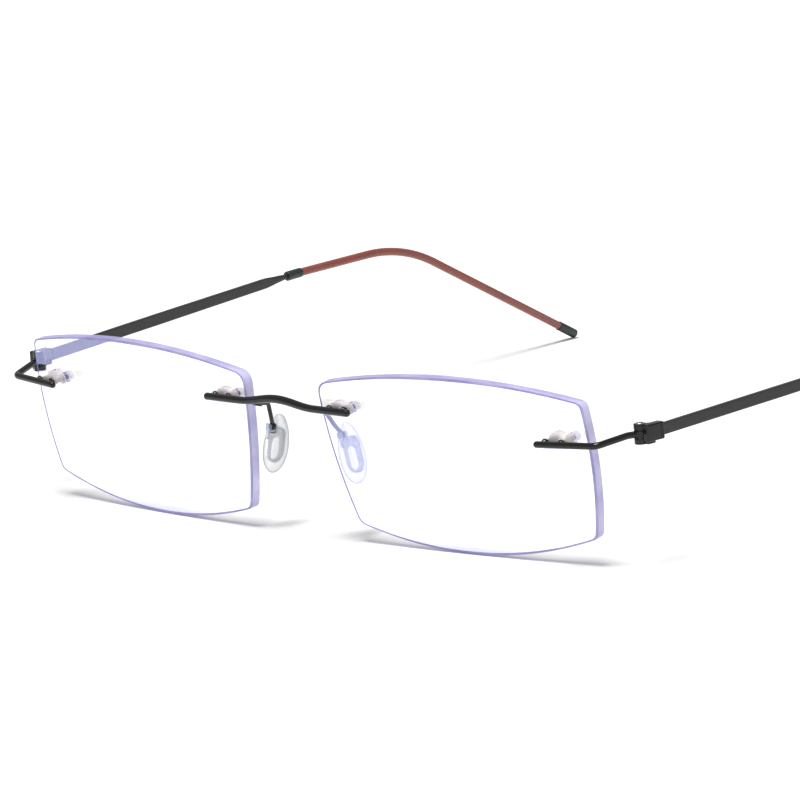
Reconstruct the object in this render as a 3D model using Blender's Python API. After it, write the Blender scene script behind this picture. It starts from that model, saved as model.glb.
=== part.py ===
"""Rimless eyeglasses, standing open on their lenses and ear tips.

Two clear lenses are drilled and held by wire mounts: a bridge wire between them and an
endpiece wire at each outer end. Each wire has two short pins that pass through clear plastic
bushes in the lens. Each endpiece ends in a hinge eye, which carries a flat temple with a
sleeved ear tip. Nose pads rock on arms that are brazed to the bridge wire.

Frame: metres, +Z up, +X to the wearer's left, +Y towards the ears, floor at z = 0.
"""

import math

import bmesh
import bpy
from mathutils import Matrix, Vector

MM = 0.001

# Lens: its outline as seen from the front, and the surface that the outline lies on.
LENS_TOP_INNER = (8.35, 26.47)
LENS_TOP_OUTER = (63.15, 26.97)
LENS_BOTTOM_OUTER = (61.80, 4.62)
LENS_BOTTOM_INNER = (12.52, 3.29)
LENS_RISE = (2.65, 1.10, 3.86, 0.88)  # how far the top, outer, bottom and nasal sides bow out
LENS_CORNER = (1.9, 0.9, 0.9, 1.0)  # rounding of the four corners, in the order above
LENS_MIDDLE = (36.0, 16.0)
LENS_MIDDLE_Y = 2.49
LENS_WRAP = 0.082  # slope backwards towards the temple
LENS_TILT = 0.1416  # slope forwards towards the brow
LENS_RADIUS = 526.0  # of the front surface
LENS_THICKNESS = 1.40  # at the middle
LENS_EDGE_GROWTH = 0.0004  # extra thickness for each square millimetre from the middle
LENS_HOLE_RADIUS = 0.90
SIDE_POINTS = 12
LENS_RINGS = 4

# Wire mounts.
BRIDGE_Y = -1.58
BRIDGE_Z = 22.5
BRIDGE_END_X = 16.66
BRIDGE_ARCH = 0.90
BRIDGE_ARCH_HALF = 8.6
BRIDGE_RADIUS = 0.62
ENDPIECE_RADIUS = 0.55
ENDPIECE_START = (55.35, 0.76, 20.49)
ENDPIECE_BEND = (66.9, 2.79, 20.79)
ENDPIECE_BEND_RADIUS = 1.7
PIN_RADIUS = 0.42
PIN_DEPTH = 0.9  # how far a pin's rear end is sunk in its bush
NASAL_PINS_X = (11.65, 14.85)
OUTER_PINS_X = (57.1, 60.2)

# Bushes.
BUSH_RADIUS = 1.3
BUSH_BARREL_RADIUS = 0.84
BUSH_BORE_RADIUS = 0.48
BUSH_TAIL = 0.4
SEAT_GAP = 0.04  # between pieces that rest on each other

# Hinge.
HINGE = (69.3, 10.49, 21.6)
KNUCKLE_RADIUS = 1.02
KNUCKLE_HALF = 0.55
KNUCKLE_GAP = 0.06
BARREL_HALF = 1.62
SCREW_RADIUS = 0.42
SCREW_BORE = 0.48
SCREW_HEAD_RADIUS = 0.70
SCREW_HEAD_HEIGHT = 0.50
CLAMP_END = 3.45
CLAMP_HALF_HEIGHT = 1.40
CLAMP_HALF_WIDTH = 0.80

# Temple, in its own frame: distance from the hinge axis, and height above the floor.
SPLAY_DEG = 2.58
TEMPLE_OFFSET = 1.2  # the strip runs this far outside the hinge axis
TEMPLE_START = (1.35, 21.71)
TEMPLE_CREST = (63.5, 24.50)
TEMPLE_BEND = (91.3, 24.45)
TEMPLE_TIP = (134.2, 0.72)
CREST_RADIUS = 150.0
EAR_RADIUS = 35.0
STRIP_HALF_WIDTH = 0.42
STRIP_HALF_HEIGHT = 0.95
STRIP_END_HALF_HEIGHT = 0.84
NECK_HALF_HEIGHT = 0.56
CORE_RADIUS = 0.38
STRIP_END = 56.5
NECK_START = 60.2
COLLAR_START = 62.0
COLLAR_END = 65.5
SLEEVE_END = 130.2
CORE_END = 132.4
SLEEVE_RADIUS = 0.69
SLEEVE_WALL = 0.25
COLLAR_RADIUS = 0.82
CAP_RADIUS = 0.81
CAP_BORE = 0.46

# Nose pads. Pad sizes are in the pad's own frame: x away from the nose, y back, z up.
PAD_MIDDLE = (8.65, 5.95, 13.9)
PAD_LEAN_DEG = 13.0
PAD_HALF_HEIGHT = 5.1
PAD_HALF_WIDTH = 2.7
PAD_THICKNESS = 1.7
EYE_SPOT = (0.0, -1.3, 3.2)
INSERT_SPOT = (0.0, 0.2, -0.3)
INSERT_HALF_HEIGHT = 3.0
INSERT_HALF_WIDTH = 1.75
INSERT_SLOT_HALF_WIDTH = 1.05
INSERT_SLOT_HALF_HEIGHT = 2.0
INSERT_SLOT_SPOT = (0.0, -0.05, -0.85)
INSERT_THICKNESS = 0.45
INSERT_FACE = 0.45  # depth of its outer face from the middle of the pad
EYE_RADIUS = 0.62
EYE_BORE = 0.30
EYE_HALF = 0.32
CHEEK_GAP = 0.07
CHEEK_THICKNESS = 0.30
POST_RADIUS = 0.24
NOTCH_HALF_WIDTH = 0.80
ARM_RADIUS = 0.36
BRACKET_X = 6.3

ORIGIN_Y = 71.322  # halfway between the front of the bridge and the ear tips
FLOOR_Z = 0.068  # the lowest rim of the end caps


def set_scene():
    """Starts from an empty scene."""
    for obj in list(bpy.data.objects):
        bpy.data.objects.remove(obj, do_unlink=True)


def material(name, colour, roughness, metallic=0.0, alpha=1.0):
    """A plain Principled finish."""
    made = bpy.data.materials.new(name)
    made.use_nodes = True
    shader = made.node_tree.nodes["Principled BSDF"]
    shader.inputs["Base Color"].default_value = (*colour, 1.0)
    shader.inputs["Roughness"].default_value = roughness
    shader.inputs["Metallic"].default_value = metallic
    shader.inputs["Alpha"].default_value = alpha
    return made


def add_object(name, bm, finish, place=None, smooth_deg=35.0):
    """Turns a bmesh in millimetres into a named object in metres."""
    if place is not None:
        bmesh.ops.transform(bm, matrix=place, verts=bm.verts)
    bmesh.ops.scale(bm, vec=(MM, MM, MM), verts=bm.verts)
    bmesh.ops.recalc_face_normals(bm, faces=bm.faces)
    mesh = bpy.data.meshes.new(name)
    bm.to_mesh(mesh)
    bm.free()
    mesh.materials.append(finish)
    mesh.shade_smooth()
    mesh.set_sharp_from_angle(angle=math.radians(smooth_deg))
    obj = bpy.data.objects.new(name, mesh)
    bpy.context.scene.collection.objects.link(obj)
    return obj


def combine(target, tools, operation):
    """Joins the tools to the target, or cuts them from it, and removes them."""
    for tool in tools:
        step = target.modifiers.new(operation.lower(), "BOOLEAN")
        step.operation = operation
        step.solver = "EXACT"
        step.object = tool
    bpy.context.view_layer.update()
    graph = bpy.context.evaluated_depsgraph_get()
    mesh = bpy.data.meshes.new_from_object(target.evaluated_get(graph))
    target.modifiers.clear()
    old = target.data
    target.data = mesh
    mesh.name = target.name
    bpy.data.meshes.remove(old)
    for tool in tools:
        bpy.data.objects.remove(tool, do_unlink=True)
    return target


def frame_matrix(origin, x_axis, y_axis):
    """A right-handed frame at origin, with y_axis kept and x_axis made square to it."""
    y_dir = Vector(y_axis).normalized()
    x_dir = Vector(x_axis)
    x_dir = (x_dir - y_dir * x_dir.dot(y_dir)).normalized()
    z_dir = x_dir.cross(y_dir)
    turn = Matrix((x_dir, y_dir, z_dir)).transposed().to_4x4()
    return Matrix.Translation(Vector(origin)) @ turn


def cylinder(radius, start, end, segments=24):
    """A closed cylinder between two points, as a bmesh."""
    bm = bmesh.new()
    start = Vector(start)
    along = Vector(end) - start
    turn = Vector((0, 0, 1)).rotation_difference(along).to_matrix().to_4x4()
    place = Matrix.Translation(start + along / 2) @ turn
    bmesh.ops.create_cone(
        bm, cap_ends=True, segments=segments, radius1=radius, radius2=radius,
        depth=along.length, matrix=place,
    )
    return bm


def box(low, high):
    """A closed box between two corners, as a bmesh."""
    bm = bmesh.new()
    size = [b - a for a, b in zip(low, high)]
    middle = [(a + b) / 2 for a, b in zip(low, high)]
    place = Matrix.Translation(middle) @ Matrix.Diagonal((*size, 1.0))
    bmesh.ops.create_cube(bm, size=1.0, matrix=place)
    return bm


def loft(rings):
    """A closed skin through rings of equal length, capped at both ends, as a bmesh."""
    bm = bmesh.new()
    made = [[bm.verts.new(point) for point in ring] for ring in rings]
    count = len(made[0])
    for low, high in zip(made, made[1:]):
        for i in range(count):
            j = (i + 1) % count
            bm.faces.new((low[i], low[j], high[j], high[i]))
    bm.faces.new(made[0][::-1])
    bm.faces.new(made[-1])
    return bm


def rounded_path(corners, radii, step_deg=6.0):
    """Points along straight runs joined by arcs; radii holds one value for each inner corner."""
    points = [Vector(corners[0])]
    for before, corner, after, radius in zip(corners, corners[1:], corners[2:], radii):
        corner = Vector(corner)
        back = (Vector(before) - corner).normalized()
        ahead = (Vector(after) - corner).normalized()
        turn = math.pi - back.angle(ahead)
        reach = radius * math.tan(turn / 2)
        centre = corner + (back + ahead).normalized() * (radius / math.cos(turn / 2))
        first = corner + back * reach - centre
        axis = first.cross(corner + ahead * reach - centre).normalized()
        steps = max(2, math.ceil(math.degrees(turn) / step_deg))
        for i in range(steps + 1):
            points.append(centre + Matrix.Rotation(turn * i / steps, 3, axis) @ first)
    points.append(Vector(corners[-1]))
    return points


def wire(name, points, radius, finish, rounded=(True, True), sides=16):
    """A round wire along the points, with its ends domed where rounded says so."""
    points = [Vector(p) for p in points]
    scales = [1.0] * len(points)
    for end, is_round in ((0, rounded[0]), (-1, rounded[1])):
        if not is_round:
            continue
        outward = (points[end] - points[1 if end == 0 else -2]).normalized()
        tip = points[end]
        dome = [(0.45, 0.89), (0.80, 0.60), (0.97, 0.24)]
        for reach, scale in dome:
            extra = tip + outward * radius * (reach - 1.0)
            where = 0 if end == 0 else len(points)
            points.insert(where, extra)
            scales.insert(where, scale)
        base = 3 if end == 0 else -4
        points[base] = tip - outward * radius
    curve = bpy.data.curves.new(name, "CURVE")
    curve.dimensions = "3D"
    curve.bevel_depth = radius * MM
    curve.bevel_resolution = sides // 4 - 1
    curve.use_fill_caps = True
    spline = curve.splines.new("POLY")
    spline.points.add(len(points) - 1)
    for slot, point, scale in zip(spline.points, points, scales):
        slot.co = (*(point * MM), 1.0)
        slot.radius = scale
    guide = bpy.data.objects.new(name + "_path", curve)
    bpy.context.scene.collection.objects.link(guide)
    bpy.context.view_layer.update()
    graph = bpy.context.evaluated_depsgraph_get()
    mesh = bpy.data.meshes.new_from_object(guide.evaluated_get(graph))
    bm = bmesh.new()
    bm.from_mesh(mesh)
    bmesh.ops.remove_doubles(bm, verts=bm.verts, dist=1e-7)
    bmesh.ops.scale(bm, vec=(1 / MM,) * 3, verts=bm.verts)
    bpy.data.meshes.remove(mesh)
    bpy.data.objects.remove(guide, do_unlink=True)
    bpy.data.curves.remove(curve)
    return add_object(name, bm, finish)


def mirrored(point, side):
    """A point of the wearer's left half, moved to the given side."""
    return Vector((point[0] * side, point[1], point[2]))


# ---------------------------------------------------------------- lenses


def lens_front_y(x, z):
    """Depth of the left lens's front surface."""
    across = x - LENS_MIDDLE[0]
    up = z - LENS_MIDDLE[1]
    bulge = (across * across + up * up) / (2 * LENS_RADIUS)
    return LENS_MIDDLE_Y + LENS_WRAP * across - LENS_TILT * up + bulge


def lens_normal(x, z):
    """Direction straight back through the left lens at a point of its front."""
    across = LENS_WRAP + (x - LENS_MIDDLE[0]) / LENS_RADIUS
    up = -LENS_TILT + (z - LENS_MIDDLE[1]) / LENS_RADIUS
    return Vector((-across, 1.0, -up)).normalized()


def lens_outline():
    """The front outline of the left lens, as (x, z) points."""
    corners = [LENS_TOP_INNER, LENS_TOP_OUTER, LENS_BOTTOM_OUTER, LENS_BOTTOM_INNER]
    sides = []
    for i, rise in enumerate(LENS_RISE):
        start = Vector(corners[i])
        end = Vector(corners[(i + 1) % 4])
        along = end - start
        out = Vector((-along.y, along.x)).normalized()
        cut_start = LENS_CORNER[i] / along.length
        cut_end = LENS_CORNER[(i + 1) % 4] / along.length
        points = []
        for step in range(SIDE_POINTS + 1):
            t = cut_start + (1 - cut_start - cut_end) * step / SIDE_POINTS
            points.append(start + along * t + out * rise * 4 * t * (1 - t))
        sides.append(points)
    outline = []
    for i, points in enumerate(sides):
        before = sides[i - 1][-1]
        corner = Vector(corners[i])
        for step in (0.25, 0.5, 0.75):
            low = before.lerp(corner, step)
            high = corner.lerp(points[0], step)
            outline.append(low.lerp(high, step))
        outline.extend(points)
    return outline


def lens_mesh():
    """The undrilled left lens: front and back surfaces on rings, with a straight edge."""
    outline = lens_outline()
    middle = Vector(LENS_MIDDLE)
    back_dir = lens_normal(*LENS_MIDDLE)
    bm = bmesh.new()

    def ring(scale, is_back):
        made = []
        for point in outline:
            x, z = middle.lerp(point, scale)
            spot = Vector((x, lens_front_y(x, z), z))
            if is_back:
                reach = (Vector((x, z)) - middle).length_squared
                spot += back_dir * (LENS_THICKNESS + LENS_EDGE_GROWTH * reach)
            made.append(bm.verts.new(spot))
        return made

    count = len(outline)
    for is_back in (False, True):
        rings = [ring((i + 1) / LENS_RINGS, is_back) for i in range(LENS_RINGS)]
        centre = Vector((middle.x, lens_front_y(*middle), middle.y))
        if is_back:
            centre += back_dir * LENS_THICKNESS
        hub = bm.verts.new(centre)
        for i in range(count):
            j = (i + 1) % count
            bm.faces.new((hub, rings[0][i], rings[0][j]))
            for inner, outer in zip(rings, rings[1:]):
                bm.faces.new((inner[i], outer[i], outer[j], inner[j]))
        if is_back:
            back_rim = rings[-1]
        else:
            front_rim = rings[-1]
    for i in range(count):
        j = (i + 1) % count
        bm.faces.new((front_rim[i], back_rim[i], back_rim[j], front_rim[j]))
    return bm


# ---------------------------------------------------------------- wire mounts


def endpiece_point(x):
    """A point on the straight front run of the left endpiece wire."""
    start = Vector(ENDPIECE_START)
    run = Vector(ENDPIECE_BEND) - start
    return start + run * ((x - start.x) / run.x)


def mount_seat(pins):
    """Seat of a bush: its frame on the lens front, the two pin offsets and the wire's distance.

    In this frame x runs from pin to pin, y straight back through the lens, and y = 0 is the
    lens's front surface.
    """
    first, second = pins
    middle = (first + second) / 2
    normal = lens_normal(middle.x, middle.z)
    gap = lens_front_y(middle.x, middle.z) - middle.y
    seat = middle + normal * gap
    for _ in range(4):
        gap += (lens_front_y(seat.x, seat.z) - seat.y) * normal.y
        seat = middle + normal * gap
    place = frame_matrix(seat, second - first, normal)
    inverse = place.inverted()
    offsets = [(inverse @ pin).x for pin in pins]
    depths = [(inverse @ pin).y for pin in pins]
    return place, offsets, depths


def lens_depth_at_seat(place):
    """Thickness of the lens behind a bush."""
    spot = place.to_translation()
    reach = (spot.x - LENS_MIDDLE[0]) ** 2 + (spot.z - LENS_MIDDLE[1]) ** 2
    return LENS_THICKNESS + LENS_EDGE_GROWTH * reach


def stadium(half_length, radius, y, sides=8):
    """A ring round two points at +-half_length, at depth y."""
    ring = []
    for centre, start in ((half_length, -90), (-half_length, 90)):
        for i in range(sides + 1):
            angle = math.radians(start + 180 * i / sides)
            ring.append((centre + radius * math.cos(angle), y, radius * math.sin(angle)))
    return ring


def add_bush(name, seat, wire_radius, side, finish):
    """A clear twin bush: a body between wire and lens, and two barrels through the lens."""
    place, offsets, depths = seat
    flip = Matrix.Diagonal((side, 1, 1, 1))
    middle = sum(offsets) / 2
    half = abs(offsets[1] - offsets[0]) / 2
    front = max(depths) + wire_radius + SEAT_GAP
    back = -SEAT_GAP
    tail = lens_depth_at_seat(place) + BUSH_TAIL
    shift = Matrix.Translation((middle, 0, 0))
    body = loft([
        stadium(half, BUSH_RADIUS - 0.15, front),
        stadium(half, BUSH_RADIUS, front + 0.15),
        stadium(half, BUSH_RADIUS, back),
    ])
    bush = add_object(name, body, finish, flip @ place @ shift)
    barrels = []
    bores = []
    for offset in offsets:
        barrel = cylinder(BUSH_BARREL_RADIUS, (offset, back - 0.2, 0), (offset, tail, 0), 20)
        barrels.append(add_object(name + "_barrel", barrel, finish, flip @ place))
        bore = cylinder(BUSH_BORE_RADIUS, (offset, front - 1, 0), (offset, tail + 1, 0), 16)
        bores.append(add_object(name + "_bore", bore, finish, flip @ place))
    combine(bush, barrels, "UNION")
    return combine(bush, bores, "DIFFERENCE")


def add_pins(target, seat, side, finish):
    """Welds the two pins of a seat to their wire."""
    place, offsets, depths = seat
    flip = Matrix.Diagonal((side, 1, 1, 1))
    tail = lens_depth_at_seat(place) + BUSH_TAIL - PIN_DEPTH
    pins = []
    for offset, depth in zip(offsets, depths):
        pin = cylinder(PIN_RADIUS, (offset, depth, 0), (offset, tail, 0), 16)
        pins.append(add_object(target.name + "_pin", pin, finish, flip @ place))
    return combine(target, pins, "UNION")


def add_lens(name, seats, side, finish):
    """One lens, with two holes under each bush."""
    flip = Matrix.Diagonal((side, 1, 1, 1))
    lens = add_object(name, lens_mesh(), finish, flip)
    drills = []
    for place, offsets, _ in seats:
        for offset in offsets:
            drill = cylinder(LENS_HOLE_RADIUS, (offset, -2, 0), (offset, 5, 0), 20)
            drills.append(add_object(name + "_drill", drill, finish, flip @ place))
    return combine(lens, drills, "DIFFERENCE")


def bridge_point(x):
    """A point on the bridge wire's axis: level at the lenses, arched between them."""
    share = min(1.0, abs(x) / BRIDGE_ARCH_HALF)
    lift = BRIDGE_ARCH * (0.5 + 0.5 * math.cos(math.pi * share))
    return Vector((x, BRIDGE_Y, BRIDGE_Z + lift))


def add_bridge(seat, finish):
    """The bridge wire with its four pins."""
    steps = 12
    arch = [BRIDGE_ARCH_HALF * (i / steps * 2 - 1) for i in range(steps + 1)]
    stations = [-BRIDGE_END_X, *arch, BRIDGE_END_X]
    bridge = wire("bridge_wire", [bridge_point(x) for x in stations], BRIDGE_RADIUS, finish)
    for side in (1, -1):
        add_pins(bridge, seat, side, finish)
    return bridge


def add_endpiece(name, seat, side, finish):
    """An endpiece wire with its two pins, and the hinge eye at its rear end."""
    hinge = Vector(HINGE)
    bend = Vector(ENDPIECE_BEND)
    ahead = Vector((bend.x - hinge.x, bend.y - hinge.y, 0)).normalized()
    level = hinge + ahead * 2.4
    stop = hinge + ahead * (KNUCKLE_RADIUS - 0.2)
    corners = [ENDPIECE_START, bend, level, stop]
    path = rounded_path(corners, [ENDPIECE_BEND_RADIUS, 5.0], 12.0)
    path = [mirrored(point, side) for point in path]
    endpiece = wire(name, path, ENDPIECE_RADIUS, finish, rounded=(True, False))
    add_pins(endpiece, seat, side, finish)
    centre = mirrored(hinge, side)
    reach = Vector((0, 0, KNUCKLE_HALF))
    eye = add_object(
        name + "_eye", cylinder(KNUCKLE_RADIUS, centre - reach, centre + reach, 32), finish
    )
    bore = add_object(
        name + "_bore", cylinder(SCREW_BORE, centre - reach * 3, centre + reach * 3, 32), finish
    )
    combine(endpiece, [eye], "UNION")
    return combine(endpiece, [bore], "DIFFERENCE")


# ---------------------------------------------------------------- temples


def temple_frame(side):
    """Places temple pieces: origin on the hinge axis at floor level, +Y along the temple."""
    turn = Matrix.Rotation(math.radians(-SPLAY_DEG), 4, "Z")
    spot = Matrix.Translation((HINGE[0], HINGE[1], 0))
    return Matrix.Diagonal((side, 1, 1, 1)) @ spot @ turn


def temple_path():
    """The temple's centre line in its own frame."""
    corners = [
        Vector((TEMPLE_OFFSET, *spot))
        for spot in (TEMPLE_START, TEMPLE_CREST, TEMPLE_BEND, TEMPLE_TIP)
    ]
    return rounded_path(corners, [CREST_RADIUS, EAR_RADIUS], 3.2)


def path_between(path, start, end):
    """The stretch of a path between two distances from the hinge, with exact ends."""

    def at(where):
        if where <= path[0].y + 0.01:
            return path[0]
        for low, high in zip(path, path[1:]):
            if low.y <= where <= high.y:
                return low.lerp(high, (where - low.y) / (high.y - low.y))
        return path[-1]

    inner = [point for point in path if start + 0.3 < point.y < end - 0.3]
    return [at(start), *inner, at(end)]


def section(path, index, half_width, half_height, power, sides=16):
    """A rounded ring across the path at one of its points."""
    before = path[max(index - 1, 0)]
    after = path[min(index + 1, len(path) - 1)]
    along = (after - before).normalized()
    across = Vector((1, 0, 0))
    up = across.cross(along)
    ring = []
    for i in range(sides):
        angle = 2 * math.pi * (i + 0.5) / sides
        c = math.cos(angle)
        s = math.sin(angle)
        wide = math.copysign(abs(c) ** (2 / power), c) * half_width
        tall = math.copysign(abs(s) ** (2 / power), s) * half_height
        ring.append(path[index] + across * wide + up * tall)
    return ring


def add_strip(name, side, finish):
    """The flat temple strip, which narrows to a neck and runs on as a round core wire."""
    path = temple_path()
    shape = [
        (TEMPLE_START[0], STRIP_HALF_WIDTH, STRIP_HALF_HEIGHT, 8.0),
        (30.0, STRIP_HALF_WIDTH, STRIP_HALF_HEIGHT, 8.0),
        (STRIP_END, STRIP_HALF_WIDTH, STRIP_END_HALF_HEIGHT, 8.0),
        (58.5, STRIP_HALF_WIDTH + 0.03, 0.68, 4.0),
        (NECK_START, STRIP_HALF_WIDTH + 0.06, NECK_HALF_HEIGHT, 2.6),
        (NECK_START + 0.6, CORE_RADIUS + 0.06, 0.5, 2.2),
        (COLLAR_START - 0.05, CORE_RADIUS, CORE_RADIUS, 2.0),
    ]
    stations = [path_between(path, spot[0], CORE_END)[0] for spot in shape]
    profile = [spot[1:] for spot in shape]
    core = path_between(path, COLLAR_START + 0.4, CORE_END)
    stations += core
    profile += [(CORE_RADIUS, CORE_RADIUS, 2.0)] * len(core)
    rings = [section(stations, i, *profile[i]) for i in range(len(stations))]
    return add_object(name, loft(rings), finish, temple_frame(side))


def add_tube(name, start, end, radius, bore, side, finish, chamfer=0.0, blind=0.0):
    """A tube on the temple's centre line; blind leaves the last stretch solid."""
    path = path_between(temple_path(), start, end)
    stations = list(path)
    radii = [radius] * len(path)
    if chamfer:
        for index in (0, -1):
            other = 1 if index == 0 else -2
            inward = (stations[other] - stations[index]).normalized() * chamfer
            where = 1 if index == 0 else len(stations) - 1
            stations.insert(where, stations[index] + inward)
            radii.insert(where, radius)
            radii[index] = radius - chamfer
    rings = [
        section(stations, i, radii[i], radii[i], 2.0, 20) for i in range(len(stations))
    ]
    tube = add_object(name, loft(rings), finish, temple_frame(side))
    inside = path_between(temple_path(), start, end - blind)
    lead = (inside[0] - inside[1]).normalized()
    tail = (inside[-1] - inside[-2]).normalized()
    inside[0] = inside[0] + lead
    if not blind:
        inside[-1] = inside[-1] + tail
    hollow = loft([section(inside, i, bore, bore, 2.0, 16) for i in range(len(inside))])
    return combine(tube, [add_object(name + "_hollow", hollow, finish, temple_frame(side))],
                   "DIFFERENCE")


def add_clamp(name, side, finish):
    """The folded sleeve that grips the strip, with the hinge's top and bottom knuckles."""
    place = temple_frame(side) @ Matrix.Translation((0, 0, HINGE[2]))
    line = TEMPLE_START[1] - HINGE[2] + 0.06
    low = (TEMPLE_OFFSET - CLAMP_HALF_WIDTH, -0.33, line - CLAMP_HALF_HEIGHT)
    high = (TEMPLE_OFFSET + CLAMP_HALF_WIDTH, CLAMP_END, line + CLAMP_HALF_HEIGHT)
    body = box(low, high)
    bmesh.ops.bevel(
        body, geom=body.edges[:], offset=0.22, segments=2, profile=0.5, affect="EDGES"
    )
    clamp = add_object(name, body, finish, place)
    knuckles = []
    for bottom, top in ((KNUCKLE_HALF + KNUCKLE_GAP, BARREL_HALF),
                        (-BARREL_HALF, -KNUCKLE_HALF - KNUCKLE_GAP)):
        knuckle = cylinder(KNUCKLE_RADIUS, (0, 0, bottom), (0, 0, top), 32)
        knuckles.append(add_object(name + "_knuckle", knuckle, finish, place))
        foot = box((0.1, -0.05, bottom + 0.02), (1.75, 1.6, top - 0.1))
        knuckles.append(add_object(name + "_foot", foot, finish, place))
    combine(clamp, knuckles, "UNION")
    room = KNUCKLE_HALF + KNUCKLE_GAP
    cuts = [
        cylinder(KNUCKLE_RADIUS + 0.09, (0, 0, -room), (0, 0, room), 32),
        cylinder(SCREW_BORE, (0, 0, -3), (0, 0, 3), 32),
        cylinder(SCREW_HEAD_RADIUS + 0.06, (0, 0, BARREL_HALF - 0.36), (0, 0, 3), 32),
        box(
            (TEMPLE_OFFSET - STRIP_HALF_WIDTH - SEAT_GAP, 1.25,
             line - STRIP_HALF_HEIGHT - 0.09),
            (TEMPLE_OFFSET + STRIP_HALF_WIDTH + SEAT_GAP, CLAMP_END + 1,
             line + STRIP_HALF_HEIGHT + 0.16),
        ),
    ]
    return combine(
        clamp, [add_object(name + "_cut", cut, finish, place) for cut in cuts], "DIFFERENCE"
    )


def add_screw(name, side, finish):
    """The slotted screw that is the hinge's pin."""
    place = temple_frame(side) @ Matrix.Translation((0, 0, HINGE[2]))
    shank = cylinder(SCREW_RADIUS, (0, 0, 0.05 - BARREL_HALF), (0, 0, 1.4), 32)
    screw = add_object(name, shank, finish, place)
    seat = BARREL_HALF - 0.36 + 0.04
    head = cylinder(SCREW_HEAD_RADIUS, (0, 0, seat), (0, 0, seat + SCREW_HEAD_HEIGHT), 32)
    slot = box((-1, -0.1, seat + SCREW_HEAD_HEIGHT - 0.14), (1, 0.1, 3))
    combine(screw, [add_object(name + "_head", head, finish, place)], "UNION")
    return combine(screw, [add_object(name + "_slot", slot, finish, place)], "DIFFERENCE")


# ---------------------------------------------------------------- nose pads


def pad_frame(side):
    """Places pad pieces: x points away from the nose, y back, z up along the pad."""
    lean = Matrix.Rotation(math.radians(-PAD_LEAN_DEG), 4, "Y")
    return Matrix.Diagonal((side, 1, 1, 1)) @ Matrix.Translation(PAD_MIDDLE) @ lean


def pad_outline(grow=0.0, count=28):
    """Drop-shaped outline, a little narrower at the top, as (y, z) points."""
    points = []
    for i in range(count):
        angle = 2 * math.pi * i / count
        up = math.sin(angle)
        width = (PAD_HALF_WIDTH + grow) * (1.0 - 0.13 * up)
        points.append((math.cos(angle) * width, up * (PAD_HALF_HEIGHT + grow)))
    return points


def slot_ring(half_width, half_height, x, sides=6):
    """An upright rounded slot outline at depth x."""
    straight = half_height - half_width
    ring = []
    for centre, start in ((straight, 0), (-straight, 180)):
        for i in range(sides + 1):
            angle = math.radians(start + 180 * i / sides)
            ring.append((x, half_width * math.cos(angle), centre + half_width * math.sin(angle)))
    return ring


def insert_plate(grow):
    """The insert's flat plate, let into the outer face of the pad."""
    outer = 3.0 if grow else INSERT_FACE
    inner = INSERT_FACE - INSERT_THICKNESS - grow
    plate = loft([
        slot_ring(INSERT_HALF_WIDTH + grow, INSERT_HALF_HEIGHT + grow, inner),
        slot_ring(INSERT_HALF_WIDTH + grow, INSERT_HALF_HEIGHT + grow, outer),
    ])
    bmesh.ops.translate(plate, vec=INSERT_SPOT, verts=plate.verts)
    return plate


def add_pad(name, side, finish):
    """The soft pad, with a pocket for its insert and a notch at the top for the arm."""
    half = PAD_THICKNESS / 2
    layers = ((-half, 0.55), (-half * 0.75, 0.86), (-half * 0.2, 1.0), (half * 0.5, 0.98),
              (half, 0.88))
    rings = [[(x, y * scale, z * scale) for y, z in pad_outline()] for x, scale in layers]
    pad = add_object(name, loft(rings), finish, pad_frame(side))
    middle = EYE_SPOT[1]
    notch = box(
        (-3, middle - NOTCH_HALF_WIDTH, EYE_SPOT[2] - EYE_RADIUS - 0.33),
        (3, middle + NOTCH_HALF_WIDTH, 9),
    )
    bridge = box((INSERT_FACE - 0.42, middle - 0.75, 1.1), (3, middle + 0.75, EYE_SPOT[2]))
    cuts = [insert_plate(0.05), notch, bridge]
    return combine(
        pad, [add_object(name + "_cut", cut, finish, pad_frame(side)) for cut in cuts],
        "DIFFERENCE",
    )


def add_insert(name, side, finish):
    """The stiff loop in the pad, with two cheeks and a post for the arm's eye."""
    place = pad_frame(side)
    insert = add_object(name, insert_plate(0.0), finish, place)
    _, middle, rise = EYE_SPOT
    outer = PAD_THICKNESS / 2
    low = EYE_SPOT[2] - EYE_RADIUS - 0.26
    near = EYE_HALF + CHEEK_GAP
    far = near + CHEEK_THICKNESS
    inside = far - 0.05
    extras = [box((INSERT_FACE - 0.33, middle - inside, 1.2),
                  (INSERT_FACE - 0.06, middle + inside, low + 0.2))]
    for start, end in ((-far, -near), (near, far)):
        extras.append(box((-0.4, middle + start, low), (outer, middle + end, rise + 0.45)))
    post = cylinder(POST_RADIUS, (0, middle - near - 0.15, rise), (0, middle + near + 0.15, rise))
    extras.append(post)
    slot = loft([
        slot_ring(INSERT_SLOT_HALF_WIDTH, INSERT_SLOT_HALF_HEIGHT, x) for x in (-1.0, 3.0)
    ])
    bmesh.ops.translate(slot, vec=INSERT_SLOT_SPOT, verts=slot.verts)
    combine(
        insert, [add_object(name + "_extra", made, finish, place) for made in extras], "UNION"
    )
    return combine(insert, [add_object(name + "_slot", slot, finish, place)], "DIFFERENCE")


def bracket_end():
    """Where the arm leaves its bracket."""
    return Vector((BRACKET_X, 1.0, 21.75))


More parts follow.
